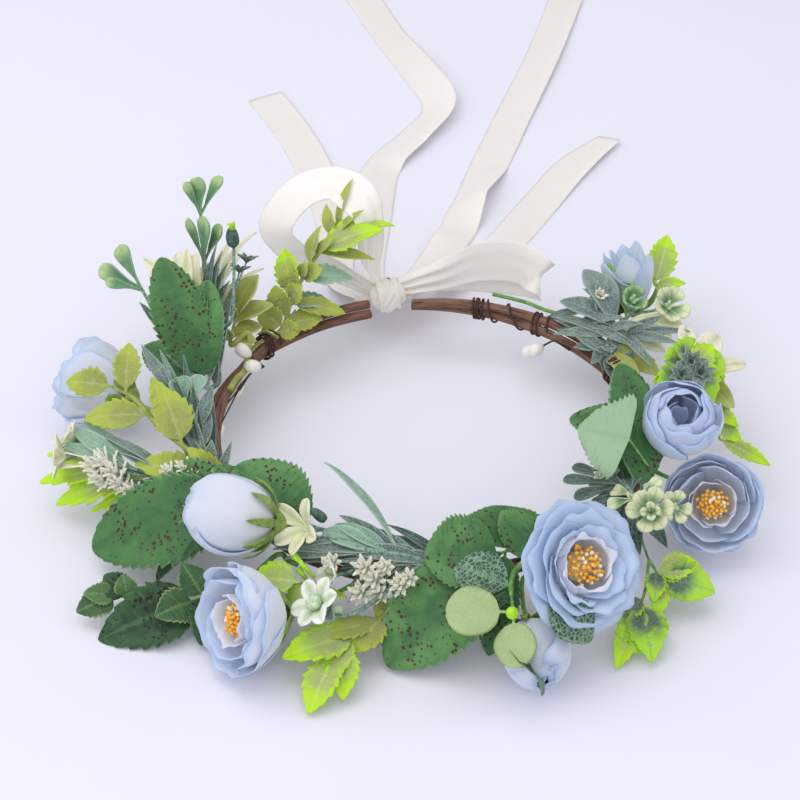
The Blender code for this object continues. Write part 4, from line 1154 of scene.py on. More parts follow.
def foam_berries(piece, route, berries):
    """Ivory foam berries on short wires. Each is (share of the route, place of its middle)."""
    for share, place in berries:
        foot = route[round(share * (len(route) - 1))]
        middle = spot(*place)
        lean = (middle - foot).normalized()
        tube(piece, WIRE_PAPER, [foot, foot.lerp(middle, 0.5), middle], 0.35, sides=7)
        turned(piece, FOAM_IVORY, middle - lean * (4.2 * MM), lean, egg(3.1, 8.6, 0.85, 11), sides=16,
            tint=piece.chance.random())


spray, route = grow_stem("berry_pick_left", WIRE_PAPER, (-192, -206, 170), [(-212, -9, 2)], 0.8)
foam_berries(spray, route, [(1.0, (-208, -1, 10)), (1.0, (-206, -7, 5)), (0.7, (-196, -3, -2)),
    (0.1, (-166, 2, -2)), (0.0, (-167, -2, -4))])
spray.place("berry_pick_left", "berry_foam")

# %% [markdown]
# ## Left side
# Here a yellow-green fuzzy spray stands up in front of the pale rolled flower, a grey sprig with cream
# trumpets and frilled tips reaches furthest out, and the large spotted leaves lie round the left bud.

# %% Yellow-green fuzzy leaves
spray, route = grow_stem("flocked_leaves_left", OLIVE_STEM, (-108, -122, 60),
    [(-133, 13, 17), (-145, 21, 18), (-153, 30, 26), (-160, 40, 26)], 1.2)
grow_leaves(spray, FUZZY, route, [
    (1.0, (-163, 61, 26), 15), (0.9, (-170, 34, 40), 13), (0.72, (-152, 53, 20), 15),
    (0.45, (-150, 19, 36), 19), (0.45, (-161, 24, 32), 12), (0.2, (-136, 34, 12), 16),
    (0.15, (-130, 12, 20), 12), (0.1, (-129, 26, 10), 12),
], (0.4, 0, 0.7))
spray.place("flocked_leaves_left", "yellow_green_flock")

# %% Grey sprig with trumpets
spray, route = grow_stem("dusty_sprig_left", DUSTY_STEM, (-112, -126, 0),
    [(-131, 20, 4), (-139, 38, 6), (-141, 50, 7)])
grow_trumpet(spray, CREAM, spot(-146, 60, 8), heading(-143, -0.1, 0.95, 0.1), 11, 8)
grow_trumpet(spray, CREAM, spot(-149, 56, 12), heading(-149, -0.3, 0.9, 0.5), 9, 6)
grow_leaves(spray, FROSTED_LENS, route, [(0.75, (-150, 58, 18), 8), (0.6, (-153, 54, 18), 5),
    (0.7, (-147, 63, 14), 6)], (0.4, 0, 0.7))
for place, size in (((-140, 50, 8), 7), ((-139, 45, 10), 8), ((-136, 42, 8), 8), ((-137, 48, 4), 7),
        ((-134, 41, 4), 7), ((-131, 37, 2), 6), ((-128, 21, 10), 6), ((-126, 15, 12), 6), ((-123, 11, 10), 6),
        ((-127, 32, 0), 6)):
    twig = grow_twig(spray, DUSTY_STEM, route[round(len(route) * 0.4)], [place], 0.5)
    grow_tuft(spray, twig[-1], heading(-135, -0.2, 0.7, 0.7), size)
grow_leaves(spray, LIME_LOBED, route, [(0.6, (-145, 70, -14), 15), (0.7, (-150, 76, -8), 12),
    (0.9, (-150, 70, 6), 8), (0.4, (-140, 56, -14), 8)], (0.4, 0, 0.8))
grow_leaves(spray, CREAM_LONG, route, [(0.8, (-147, 64, 12), 6), (0.8, (-145, 66, 6), 6)])
grow_leaves(spray, OLIVE, route, [(0.5, (-134, 46, -8), 8), (0.45, (-134, 40, -6), 7)])
spoon_twig = grow_twig(spray, DUSTY_STEM, route[4], [(-130, 6, 10), (-141, 6, 18), (-151, 9, 22)], 1.4)
grow_leaves(spray, FROSTED_SPOON, spoon_twig, [(1.0, (-159, 12, 32), 10), (0.97, (-163, 3, 30), 7)],
    (0.6, 0, 0.7))
grow_leaves(spray, SLATE_LONG, spoon_twig, [
    (0.1, (-157, 1, 10), 7), (0.3, (-163, 6, 20), 7), (0.2, (-172, 0, 10), 5), (0.05, (-138, -3, 8), 6),
    (0.0, (-127, -4, 6), 6), (0.3, (-172, 12, 34), 5), (0.5, (-162, 16, 34), 4),
], (0.6, 0, 0.7))
grow_leaves(spray, DUSTY_LONG, spoon_twig, [
    (0.9, (-178, 33, 32), 6), (0.9, (-174, 23, 34), 3.5), (0.6, (-166, 18, 26), 7), (0.3, (-131, 2, 20), 6),
    (0.2, (-142, 9, 18), 7), (0.1, (-133, -7, 16), 4), (0.15, (-147, 15, 20), 7), (0.7, (-161, -2, 26), 6),
    (0.5, (-152, 0, 22), 6), (0.4, (-153, 12, 24), 7),
], (0.6, 0, 0.7))
grow_leaves(spray, DUSTY_LONG, route, [(0.45, (-148, 48, 18), 5), (0.4, (-141, 39, 14), 5),
    (0.35, (-132, 29, 10), 5), (0.3, (-134, 22, 12), 5)])
spray.place("dusty_sprig_left", "grey_green_flock")

# %% Spotted leaves round the left bud
spray, route = grow_stem("spotted_leaves_left", STEM_PLASTIC, (-78, -92, 120), [(-103, 3, 9)])
grow_leaves(spray, SPOTTED, route, [(1.0, (-123, 61, -10), 40), (1.0, (-128, 30, 6), 30)], (0.5, 0.2, 0.8))
grow_leaves(spray, SPOTTED, route, [(0.9, (-123, -5, 12), 30)], (0.3, -0.4, 0.8))
grow_leaves(spray, SPOTTED, [spot(-70, -2, 8)], [(0, (-112, -1, 22), 34)], (0.2, 0.3, 0.95))
grow_leaves(spray, IVY, route, [(1.0, (-107, 44, -14), 18)])
spray.place("spotted_leaves_left", "spotted_leaf_cloth")

# %% Ivy
spray, route = grow_stem("ivy_sprig_left_front", STEM_PLASTIC, (-70, -80, -45),
    [(-85, 20, -12), (-93, 44, -15), (-105, 61, -14)], 1.1)
grow_leaves(spray, IVY, route, [(0.55, (-99, 77, -20), 28), (0.5, (-80, 50, -19), 18),
    (0.95, (-110, 62, -8), 13), (0.85, (-97, 61, -18), 9)], (0.4, 0.3, 0.8))
grow_leaves(spray, VARIEGATED, route, [(0.6, (-91, 57, -10), 17), (0.55, (-99, 35, -4), 14),
    (1.0, (-107, 78, -16), 14), (0.95, (-106, 57, -6), 10), (1.0, (-108, 73, -10), 10)], (0.4, 0.3, 0.8))
spray.place("ivy_sprig_left_front", "dark_leaf_cloth")

# %% [markdown]
# ## Front
# The front has the most mixed spray: long grey leaves that sweep inside the ring, a cream trumpet, two
# white rosettes, frilled tips and lime leaves. Next to it are three large spotted leaves, and by the open
# flower two netted leaves and two thin round eucalyptus leaves on a bright green stem.

# %% Mixed grey spray
spray, route = grow_stem("dusty_sprig_front", DUSTY_STEM, (-2, -16, 120),
    [(-28, -2, 9), (-44, 1, 12), (-60, 1, 14)], 1.3)
grow_leaves(spray, FROSTED_LENS, route, [(0.45, (-86, -32, 22), 5)], (0.3, -0.3, 0.8))
grow_leaves(spray, DUSTY_LONG, route, [
    (0.45, (-61, -14, 14), 6), (0.3, (-54, -14, 12), 5), (0.55, (-63, -1, 6), 8), (0.5, (-57, 6, 6), 8),
    (0.4, (-51, 5, 4), 8), (0.35, (-46, 7, 0), 7), (0.3, (-37, 9, -6), 7), (0.3, (-33, 3, 4), 8),
    (0.2, (-27, 8, 0), 7), (0.25, (-43, -6, 8), 7), (0.4, (-46, 13, -6), 7), (0.2, (-26, -3, 6), 7),
    (0.5, (-66, 9, 4), 6), (0.15, (-23, 7, -6), 6), (0.25, (-51, 4, 12), 8), (0.6, (-78, 10, 6), 8),
    (0.65, (-71, 12, 6), 7), (0.6, (-68, 7, 10), 7), (0.3, (-43, 4, 8), 7), (0.2, (-32, -2, 8), 7),
], (0, 0.3, 0.9))
grow_leaves(spray, SLATE_LONG, route, [
    (0.1, (-37, -17, 12), 4), (0.12, (-31, -16, 10), 4), (0.1, (-26, -15, 8), 4), (0.15, (-40, -15, 8), 5),
    (0.3, (-41, -2, 6), 6), (0.3, (-53, 9, 2), 6), (0.2, (-30, 6, -10), 6), (0.05, (-21, -8, 8), 5),
], (0, 0.3, 0.9))
grow_leaves(spray, FROSTED_LENS, route, [(0.6, (-62, -2, 14), 10), (0.5, (-58, -6, 16), 7)], (0, 0.2, 1))
grow_trumpet(spray, CREAM, spot(-65, 2, 16), heading(-67, -0.35, 0.8, 0.5), 15, 7)
grow_bud(spray, DARK_BUD, spot(-63, -7, 14), heading(-61, -0.9, -0.1, 0.35), 2.2, 8)
half_twig = grow_twig(spray, DUSTY_STEM, route[round(len(route) * 0.5)], [(-46, 6, 4), (-50, 10, 4)], 0.9)
grow_whorl(spray, WHITE, half_twig[-1], heading(-53, -0.6, 0.7, 0.4), 4, 9, 7, 42)
grow_pips(spray, WHITE_PLASTIC, half_twig[-1], heading(-53, -0.6, 0.7, 0.4), 4, 1.1, 6, 2.6)
rosette_twig = grow_twig(spray, DUSTY_STEM, route[round(len(route) * 0.35)],
    [(-34, 14, 0), (-43, 23, -4), (-49, 29, 4)], 1.1)
rosette_axis = heading(-51, -0.5, 0.5, 0.7)
grow_whorl(spray, WHITE, rosette_twig[-1], rosette_axis, 6, 12.5, 7.5, 60)
grow_pips(spray, WHITE_PLASTIC, rosette_twig[-1] + rosette_axis * MM, rosette_axis, 5, 1.6, 6.5, 3)
grow_whorl(spray, DUSTY_WIDE, rosette_twig[-4], rosette_axis, 3, 8, 5, 65)
for place, size in (((-40, 9, 10), 6.5), ((-36, 11, 6), 6.5), ((-40, 15, 2), 6.5), ((-34, 11, 0), 6),
        ((-27, 10, 4), 6), ((-24, 8, 6), 5), ((-52, 10, 10), 5), ((-33, 7, 10), 5)):
    twig = grow_twig(spray, DUSTY_STEM, route[round(len(route) * 0.38)], [place], 0.5)
    grow_tuft(spray, twig[-1], heading(-38, -0.4, 0.5, 0.7), size)
for foot, top in (((-56, 17, 6), (-66, 14, 12)), ((-59, 16, 2), (-63, 15, 6))):
    tube(spray, LIME_STEM, [spot(*foot), spot(*foot).lerp(spot(*top), 0.5), spot(*top)], [0.7, 1.0, 1.5],
        sides=8)
lime_twig = grow_twig(spray, OLIVE_STEM, rosette_twig[-6], [(-54, 18, 4), (-60, 20, 4)], 0.7)
grow_leaves(spray, LIME, lime_twig, [(1.0, (-76, 26, 2), 17), (0.7, (-62, 29, -8), 13),
    (0.3, (-48, 12, -2), 10)], (0, 0.4, 0.9))
grow_bud(spray, WHITE_PLASTIC, spot(-44, 24, 0), heading(-44, -0.6, 0.6, 0.4), 1.6, 5)
spray.place("dusty_sprig_front", "grey_green_flock")

# %% Lime leaves at the front
spray, route = grow_stem("lime_leaves_front", OLIVE_STEM, (-14, -26, -30),
    [(-33, 16, -10), (-40, 28, -11), (-43, 36, -12)])
grow_leaves(spray, LIME, route, [(0.75, (-55, 48, -8), 18), (1.0, (-45, 62, -20), 16),
    (0.9, (-38, 53, -18), 15), (0.8, (-44, 53, -16), 12)], (0, 0.4, 0.9))
grow_leaves(spray, FUZZY, route, [(0.6, (-48, 33, -6), 12), (0.5, (-39, 34, -12), 16),
    (0.35, (-35, 15, -10), 12)], (0, 0.4, 0.9))
spray.place("lime_leaves_front", "lime_leaf")

# %% Spotted leaves at the front
spray, route = grow_stem("spotted_leaves_front", STEM_PLASTIC, (40, 24, 120), [(12, 0, 9)])
grow_leaves(spray, SPOTTED, route, [
    (0.97, (-29, 33, -16), 42), (1.0, (-18, 1, 12), 34), (0.85, (23, -23, 14), 34), (0.9, (2, 28, -18), 18),
    (0.9, (35, -8, 12), 26),
], (0, 0.45, 0.85))
spray.place("spotted_leaves_front", "spotted_leaf_cloth")

# %% Eucalyptus and netted leaves
spray, route = grow_stem("eucalyptus_front", STEM_PLASTIC, (38, 24, 60), [(12, 14, 8), (7, 35, 10)], 1.2)
grow_leaves(spray, DISC, route, [(1.0, (-12, 31, 10), 21)], (0, 0.4, 0.9))
grow_leaves(spray, DISC, route, [(1.0, (5, 53, -2), 17)], (-0.5, 0.3, 0.9))
turned(spray, LIME_STEM, route[-1] - Vector((0, 0, 1 * MM)), heading(5, -0.3, 0.5, 0.8), egg(2.6, 4.6),
    sides=14)
grow_leaves(spray, NETTED, route, [(0.72, (-7, 6, 12), 21)], (0, 0.4, 1))
grow_leaves(spray, NETTED, [spot(17, 35, 14)], [(0, (25, 52, 2), 19)], (0, 0.6, 0.9))
grow_leaves(spray, IVY, route, [(0.9, (-1, 20, 5), 10)])
twig = grow_twig(spray, STEM_PLASTIC, spot(3, 52, 7), [(5, 55, 3)], 0.5)
grow_leaves(spray, IVY, twig, [(1.0, (13, 53, -18), 8)])
spray.place("eucalyptus_front", "dark_leaf_cloth")

# %% [markdown]
# ## Right side
# Spotted leaves stand inside the ring, one showing its pale back. Spoon leaves make two little green
# rosettes over the open flower, dark leaves with lime edges fill in between, and a grey sprig with rosettes
# lies round the back bud.

# %% Spotted leaves on the right
spray, route = grow_stem("spotted_leaves_right", STEM_PLASTIC, (100, 112, 120), [(120, -6, 14)])
grow_leaves(spray, SPOTTED, [spot(75, 11, 14), spot(97, 5, 22)], [(0, (140, -8, 34), 25),
    (1, (115, -33, 18), 21)], (-0.4, 0.2, 0.9))
grow_leaves(spray, SPOTTED, route, [(0.7, (69, 1, 10), 18), (1.0, (136, -2, 12), 18)], (-0.4, 0.2, 0.9))
twig = grow_twig(spray, STEM_PLASTIC, route[-1], [(88, 8, 16), (83, 0, 31)], 0.7)
grow_leaves(spray, PALE_BACK, twig, [(1.0, (82, -23, 29), 38)], (-0.5, 0.1, 0.8))
spray.place("spotted_leaves_right", "spotted_leaf_cloth")

# %% Boxwood on the right
spray, route = grow_stem("boxwood_sprig_right", DUSTY_STEM, (92, 82, 90),
    [(75, 3, 14), (68, 12, 18), (65, 19, 20)], 1.1)
grow_leaves(spray, DARK_SPOON, route, [
    (0.45, (70, -24, 8), 4.8), (0.5, (64, -15, 6), 5.4), (0.45, (73, -13, 10), 4.8),
    (0.5, (80, -24, 10), 4.8), (0.6, (69, -4, 8), 5.4), (0.6, (64, 4, 8), 5.4), (0.5, (66, 7, 4), 5.4),
    (0.7, (66, -8, 4), 4.8), (0.7, (80, 2, 14), 5.4), (0.6, (77, -8, 12), 4.8), (0.7, (84, 5, 16), 4.8),
    (0.75, (64, 15, 2), 5.4),
], (-0.4, 0.2, 0.9))
grow_leaves(spray, SLATE_LONG, route, [
    (0.5, (63, -8, 2), 5), (0.4, (64, -1, -2), 5), (0.6, (62, 11, -2), 6), (0.5, (90, -12, 10), 5),
    (0.6, (71, 21, 0), 8), (0.5, (64, 20, -6), 8), (0.5, (74, 26, -8), 9),
], (-0.4, 0.2, 0.9))
grow_whorl(spray, PALE_SPOON, spot(62, 25, 22), heading(64, -0.7, 0.3, 0.7), 6, 11, 6.8, 56)
grow_whorl(spray, PALE_SPOON, spot(60, 27, 24), heading(64, -0.7, 0.3, 0.7), 4, 7, 3.6, 28, 0.5)
grow_twig(spray, DUSTY_STEM, route[-1], [(62, 25, 21)], 0.9)
second_twig = grow_twig(spray, DUSTY_STEM, route[-6], [(72, 20, 16), (72, 27, 16)], 0.7)
grow_whorl(spray, PALE_SPOON, second_twig[-1], heading(76, -0.3, 0.6, 0.8), 5, 8, 5.2, 55, 0.3)
grow_pips(spray, CREAM_PLASTIC, second_twig[-1], heading(76, -0.3, 0.6, 0.8), 3, 0.9, 3.5, 1.6)
grow_leaves(spray, PALE_SPOON, route, [(0.9, (76, 18, 24), 5), (0.8, (67, 10, 16), 6), (0.8, (70, 0, 14), 6),
    (0.85, (62, 3, 12), 6)], (-0.4, 0.2, 0.9))
for place, size in (((83, -10, 14), 4.5), ((81, -6, 14), 4.5), ((77, -9, 12), 4)):
    twig = grow_twig(spray, DUSTY_STEM, route[round(len(route) * 0.6)], [place], 0.5)
    grow_tuft(spray, twig[-1], heading(73, -0.4, -0.1, 0.9), size)
spray.place("boxwood_sprig_right", "grey_green_flock")

# %% Dark leaves with lime edges
spray, route = grow_stem("lime_leaves_right_front", STEM_PLASTIC, (90, 80, -30),
    [(70, 18, -10), (67, 22, -10)])
side_twig = grow_twig(spray, STEM_PLASTIC, route[-1], [(64, 30, -12)], 0.7)
grow_leaves(spray, LIME, side_twig, [(0.6, (72, 41, -6), 13), (1.0, (54, 41, -16), 10),
    (0.8, (69, 40, -10), 9)], (-0.3, 0.4, 0.9))
grow_leaves(spray, LIME_DARK, side_twig, [(1.0, (69, 52, -12), 20), (0.8, (65, 40, -14), 12),
    (0.6, (55, 37, -12), 10)], (-0.3, 0.4, 0.9))
low_twig = grow_twig(spray, STEM_PLASTIC, route[-1], [(58, 29, -14), (50, 35, -16)], 0.7)
grow_leaves(spray, LIME_DARK, low_twig, [(0.8, (42, 56, -18), 18), (0.9, (39, 43, -16), 14),
    (1.0, (41, 50, -18), 14), (0.7, (42, 35, -14), 10)], (-0.3, 0.4, 0.9))
grow_leaves(spray, LIME, low_twig, [(1.0, (34, 50, -20), 12), (0.9, (52, 49, -16), 7),
    (0.95, (47, 52, -19), 10)], (-0.3, 0.4, 0.9))
spray.place("lime_leaves_right_front", "lime_leaf")

spray, route = grow_stem("lime_leaves_right", STEM_PLASTIC, (136, 148, 30), [(153, 16, 10), (145, 22, 16)])
grow_leaves(spray, LIME_DARK, route, [
    (1.0, (159, 31, 22), 22), (1.0, (151, 40, 18), 22), (0.95, (132, 29, 14), 22), (0.95, (131, 6, 18), 20),
    (1.0, (157, 18, 22), 18), (0.9, (129, 16, 16), 14), (0.95, (144, 38, 12), 16),
], (-0.6, 0.1, 0.8))
grow_leaves(spray, LIME, route, [(1.0, (152, 35, 24), 13), (1.0, (143, 36, 18), 11), (0.9, (139, 5, 20), 10)],
    (-0.6, 0.1, 0.8))
low_twig = grow_twig(spray, STEM_PLASTIC, route[-4], [(139, 31, 2), (129, 33, -4)], 0.7)
grow_leaves(spray, LIME, low_twig, [(0.5, (129, 40, 4), 8), (0.8, (126, 42, -2), 8), (1.0, (120, 54, -6), 8)],
    (-0.6, 0.1, 0.8))
grow_leaves(spray, OLIVE, route, [(0.95, (135, 40, 8), 11), (0.9, (141, 40, 8), 9)], (-0.6, 0.1, 0.8))
for place, size in (((140, 20, 26), 8), ((136, 23, 24), 8), ((135, 15, 24), 7)):
    grow_whorl(spray, DUSTY_LONG, spot(*place), heading(150, -0.5, 0, 0.9), 8, size, 3.5, 62)
    grow_whorl(spray, SLATE_LONG, spot(*place), heading(150, -0.5, 0, 0.9), 5, size * 0.8, 3, 30)
grow_leaves(spray, CREAM, route, [(0.9, (160, 44, 20), 12), (0.9, (169, 35, 20), 10),
    (0.85, (153, 54, 10), 7), (0.85, (144, 40, 6), 9)], (-0.6, 0.1, 0.8))
spray.place("lime_leaves_right", "lime_leaf")

# %% Grey sprig round the back bud
spray, route = grow_stem("dusty_sprig_right", DUSTY_STEM, (162, 178, 90),
    [(184, 6, 12), (187, 18, 14), (190, 28, 14)], 1.1)
grow_leaves(spray, DUSTY_WIDE, route, [(0.6, (213, 24, 24), 15), (0.6, (214, 5, 16), 10)], (-0.5, -0.2, 0.8))
grow_leaves(spray, LIME_DARK, route, [(0.75, (216, 51, 14), 13)], (-0.5, -0.2, 0.8))
grow_leaves(spray, IVY, route, [(0.7, (213, 32, 14), 15)], (-0.5, -0.2, 0.8))
grow_leaves(spray, LIME, [spot(200, 53, 6)], [(0, (206, 74, 20), 15), (0, (214, 72, 6), 9),
    (0, (188, 51, 10), 8), (0, (193, 61, 10), 7)], (-0.5, -0.2, 0.8))
fern = spot(200, 12, 18)
grow_whorl(spray, DUSTY_LONG, fern, heading(199, -0.5, 0, 0.8), 9, 9, 3, 55)
grow_whorl(spray, FRILL, fern, heading(199, -0.5, 0, 0.8), 6, 7, 3, 25)
grow_twig(spray, DUSTY_STEM, route[round(len(route) * 0.6)], [(200, 14, 14)], 0.6)
for place, length, kind in (((190, 22, 18), 8, SPOON), ((182, 34, 16), 11, PALE_SPOON)):
    twig = grow_twig(spray, DUSTY_STEM, route[round(len(route) * 0.8)], [place], 0.8)
    axis = heading(190, -0.6, 0, 0.8)
    grow_whorl(spray, kind, twig[-1], axis, 5, length, 0.75 * length, 52)
    grow_pips(spray, WHITE_PLASTIC, twig[-1], axis, 4, 0.9, 5.5, 2.2)
grow_leaves(spray, DUSTY_LONG, route, [
    (0.5, (211, -1, 10), 5), (0.5, (208, -8, 6), 5), (0.4, (195, -7, 4), 6), (0.4, (181, -7, 2), 6),
    (0.55, (199, 4, 12), 8), (0.5, (191, 5, 12), 8), (0.5, (181, 7, 12), 9), (0.55, (179, 14, 14), 9),
    (0.5, (174, 8, 10), 8), (0.4, (175, 0, 10), 8), (0.35, (184, 0, 8), 7), (0.3, (166, 9, 8), 9),
    (0.3, (167, 2, 6), 8), (0.6, (172, 23, 12), 9), (0.2, (165, 16, 8), 9), (0.3, (199, -5, 10), 6),
], (-0.5, -0.2, 0.8))
grow_leaves(spray, SLATE_LONG, route, [
    (0.45, (209, -4, 6), 5), (0.4, (194, -3, 6), 6), (0.5, (196, 15, 10), 7), (0.3, (163, -4, 2), 7),
    (0.3, (174, -5, 2), 6), (0.4, (174, 17, 8), 8), (0.3, (186, -3, 4), 6),
], (-0.5, -0.2, 0.8))
grow_leaves(spray, CREAM_LONG, route, [(0.7, (170, 27, 14), 8), (0.6, (167, 22, 10), 8),
    (0.7, (174, 37, 14), 8)], (-0.5, -0.2, 0.8))
grow_leaves(spray, OLIVE, route, [(0.4, (159, 15, 6), 10), (0.3, (158, 5, 6), 9)], (-0.5, -0.2, 0.8))
twig = grow_twig(spray, DUSTY_STEM, spot(219, 3, 3), [(199, 4, 8), (180, 10, 12)], 0.7)
grow_leaves(spray, DUSTY_LONG, twig, [
    (0.0, (200, 8, 14), 4), (0.1, (187, 1, 10), 4.5), (0.4, (183, 11, 20), 5), (0.5, (166, 8, 16), 5),
    (0.5, (179, 0, 6), 4.5), (1.0, (174, 25, 22), 5), (1.0, (160, 23, 20), 5), (1.0, (154, 8, 16), 5),
    (1.0, (165, 32, 20), 4.5), (0.8, (172, 12, 24), 4.5),
], (-0.5, -0.2, 0.8))
spray.place("dusty_sprig_right", "grey_green_flock")

spray, route = grow_stem("berry_pick_right", WIRE_PAPER, (198, 208, 180), [(213, -8, -4)], 0.8)
foam_berries(spray, route, [(1.0, (218, -11, -7)), (0.9, (212, -14, -2))])
spray.place("berry_pick_right", "berry_foam")

# %% [markdown]
# ## The bow
# The ribbon is one length of 20 mm satin, tied in a bow across the gap. It is flat cloth, so each loop and
# tail is laid as a strip along its route, full width where it lies free and gathered into creases where the
# knot squeezes it. The strips are sheets of cloth with their real flat size. The tails bend where they
# leave the knot.

# %% Lay satin along a route
RIBBON_WIDTH = 20.0
SATIN_THICKNESS = 0.4
KNOT_BACK = 14.0


def behind(across, back, up):
    """A point by the bow: across from the crown's middle plane, behind the vine's circle, above the table."""
    return Vector((across, RING_RADIUS + back, up)) * MM


def lay_satin(piece, route, sides, widths, creases):
    """A strip of satin. Widths and crease depths are in mm, one for each point of the route."""
    columns = np.linspace(-1, 1, 15)
    rows = []
    phase = piece.chance.uniform(0, 3)
    for index, middle in enumerate(route):
        run = (route[min(index + 1, len(route) - 1)] - route[max(index - 1, 0)]).normalized()
        side = (sides[index] - run * sides[index].dot(run)).normalized()
        lift = np.array(run.cross(side))
        wave = creases[index] * np.cos(2.6 * math.pi * columns + phase)
        wave = wave + 0.25 * creases[index] * np.cos(6 * math.pi * columns + 2 * phase)
        half = widths[index] / 2
        rows.append(np.array(middle) + (columns * half * MM)[:, None] * np.array(side) + (wave * MM)[:,
            None] * lift)
    grid = np.array(rows)
    points, faces = skin(grid, SATIN_THICKNESS)
    travelled = np.cumsum([0.0] + [(b - a).length / (RIBBON_WIDTH * MM) for a, b in zip(route, route[1:])])
    along = np.tile(np.repeat(travelled, len(columns)), 2)
    across = np.tile(np.tile(columns, len(route)), 2)
    piece.add(SATIN, points, faces, along=along, across=across, tint=0.5)
    return sum((b - a).length for a, b in zip(route, route[1:]))


# %% Tails
# A tail is gathered at the knot and opens to its full width over its first 110 mm.
TAIL_SPREAD = 110.0
TAIL_GAP = 7.6
FLOOR_LEVEL = 0.25
TAIL_STARTS = {"left_short": -1.5, "left_long": -0.5, "right_long": 0.5, "right_short": 1.5}
TAIL_BENDS = {
    "left_short": [(-15, 60), (-10, 110), (-13, 160), (-19, 200), (-29, 240)],
    "left_long": [(2, 60), (12, 112), (22, 155), (44, 182), (63, 210), (59, 250), (51, 292), (44, 338),
    (37, 377)], "right_long": [(21, 50), (44, 80), (58, 108), (74, 140), (99, 191), (130, 253), (159, 318),
    (176, 357)], "right_short": [(35, 40), (68, 72), (93, 104), (120, 138), (147, 163)],
}
# How far each tail is turned on edge, in degrees, at shares of its length.
TAIL_TURNS = {
    "left_short": [(0, 0), (1, 4)],
    "left_long": [(0, 0), (0.06, -30), (0.16, -52), (0.3, -34), (0.42, 10), (0.6, 24), (0.8, 0), (1, 0)],
    "right_long": [(0, 0), (0.08, 25), (0.22, -16), (0.32, 30), (0.42, 0), (0.7, 8), (1, 0)],
    "right_short": [(0, 0), (0.15, 24), (0.4, -6), (0.75, 4), (1, 12)],
}
for name, bends in TAIL_BENDS.items():
    start = TAIL_STARTS[name] * TAIL_GAP
    hinge_back, hinge_up = KNOT_BACK + 2, VINE_HEIGHT - 4
    corners = [behind(start * 0.8, KNOT_BACK - 5, hinge_up + 1), behind(start, hinge_back + 0.3, hinge_up)]
    for across, back in bends:
        fall = max(0.0, 1 - (back - hinge_back) / 50)
        corners.append(behind(across, back, 0.5 + (hinge_up - 0.5) * fall * fall))
    route = smooth(corners, 3.5)
    travelled = np.cumsum([0.0, *((b - a).length / MM for a, b in zip(route, route[1:]))])
    shares = travelled / travelled[-1]
    turns = np.radians(np.interp(shares, *zip(*TAIL_TURNS[name])))
    opened = np.clip(travelled / TAIL_SPREAD, 0, 1)
    widths = RIBBON_WIDTH * (0.3 + 0.7 * opened ** 0.8)
    creases = 1.1 * (1 - opened) ** 1.5 * np.clip(travelled / 15, 0.3, 1)
    if name == "right_short":
        widths = widths * np.interp(shares, [0, 0.85, 1], [1, 1, 0.7])
    sides = []
    for index, point in enumerate(route):
        run = route[min(index + 1, len(route) - 1)] - route[max(index - 1, 0)]
        flat_side = Vector((run.y, -run.x, 0)).normalized() if index > 2 else Vector((1, 0, 0))
        sides.append(flat_side * math.cos(turns[index]) + Vector((0, 0, math.sin(turns[index]))))
        lifted = abs(math.sin(turns[index])) * widths[index] / 2 + FLOOR_LEVEL + creases[index] * 1.25
        point.z = max(point.z, lifted * MM)
    tail = Piece(f"satin_tail_{name}")
    length = lay_satin(tail, route, sides, widths, creases)
    made = tail.place(f"ribbon_tail_{name}", "ribbon_satin", body=None)
    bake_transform(made)
    print(f"{made.name}: {length:.3f} m of ribbon")

# %% Loops
# Each loop is its places by the bow, the way its width lies, and how far its sides flare out from its middle.
LOOPS = {
    "left": (
        [(-3, 10, 3), (-6, 16, 14), (-7, 23, 38), (-18, 40, 44), (-35, 42, 40), (-48, 37, 26), (-41, 32, 14),
        (-23, 22, 8), (-4, 10, 1)],
        (-0.2, 0.8, -0.45), 1.0,
    ),
    "right": (
        [(4, 9, 4), (25, 9, 8), (46, 17, 8), (65, 18, 4), (74, 12, -2), (67, 19, -4), (46, 20, 0),
        (26, 16, 2),
        (4, 12, 1)],
        (0.1, 0.3, 0.95), 0.0,
    ),
}
for name, (bends, side, flare) in LOOPS.items():
    route = smooth([behind(across, back, VINE_HEIGHT + up) for across, back, up in bends], 2.5)
    shares = np.linspace(0, 1, len(route))
    pinch = np.clip(np.minimum(shares, 1 - shares) / 0.3, 0, 1)
    widths = RIBBON_WIDTH * (0.32 + 0.68 * pinch ** 0.8)
    centre = sum(route, Vector()) / len(route)
    sides = [Vector(side) + (point - centre).normalized() * flare for point in route]
    loop = Piece(f"satin_loop_{name}")
    length = lay_satin(loop, route, sides, widths, 1.3 * (1 - pinch) ** 1.2 + 0.15)
    made = loop.place(f"ribbon_loop_{name}", "ribbon_satin")

# %% [markdown]
# The knot is the same ribbon pulled tight: a rolled lump with one band wrapped over it and another across.
# The lump is a soft block with lengthwise creases, and the bands are strips of satin laid round it.

# %% Tie the knot
WRAP_POINTS = 41
knot = Piece("satin_knot")
knot_middle = behind(0, 8, VINE_HEIGHT + 1)
lump = []
for index in range(15):
    share = math.pi * (index + 0.5) / 15
    lump.append((6.0 * math.sin(share) ** 0.45, -8.2 * math.cos(share)))


def knot_creases(angle):
    """Seven creases along the lump, some deeper than others, as a share of its radius."""
    return 0.07 * math.cos(7 * angle) + 0.03 * math.cos(3 * angle)


turned(knot, SATIN, knot_middle, Vector((1, 0, 0)), lump, sides=36, relief=knot_creases)


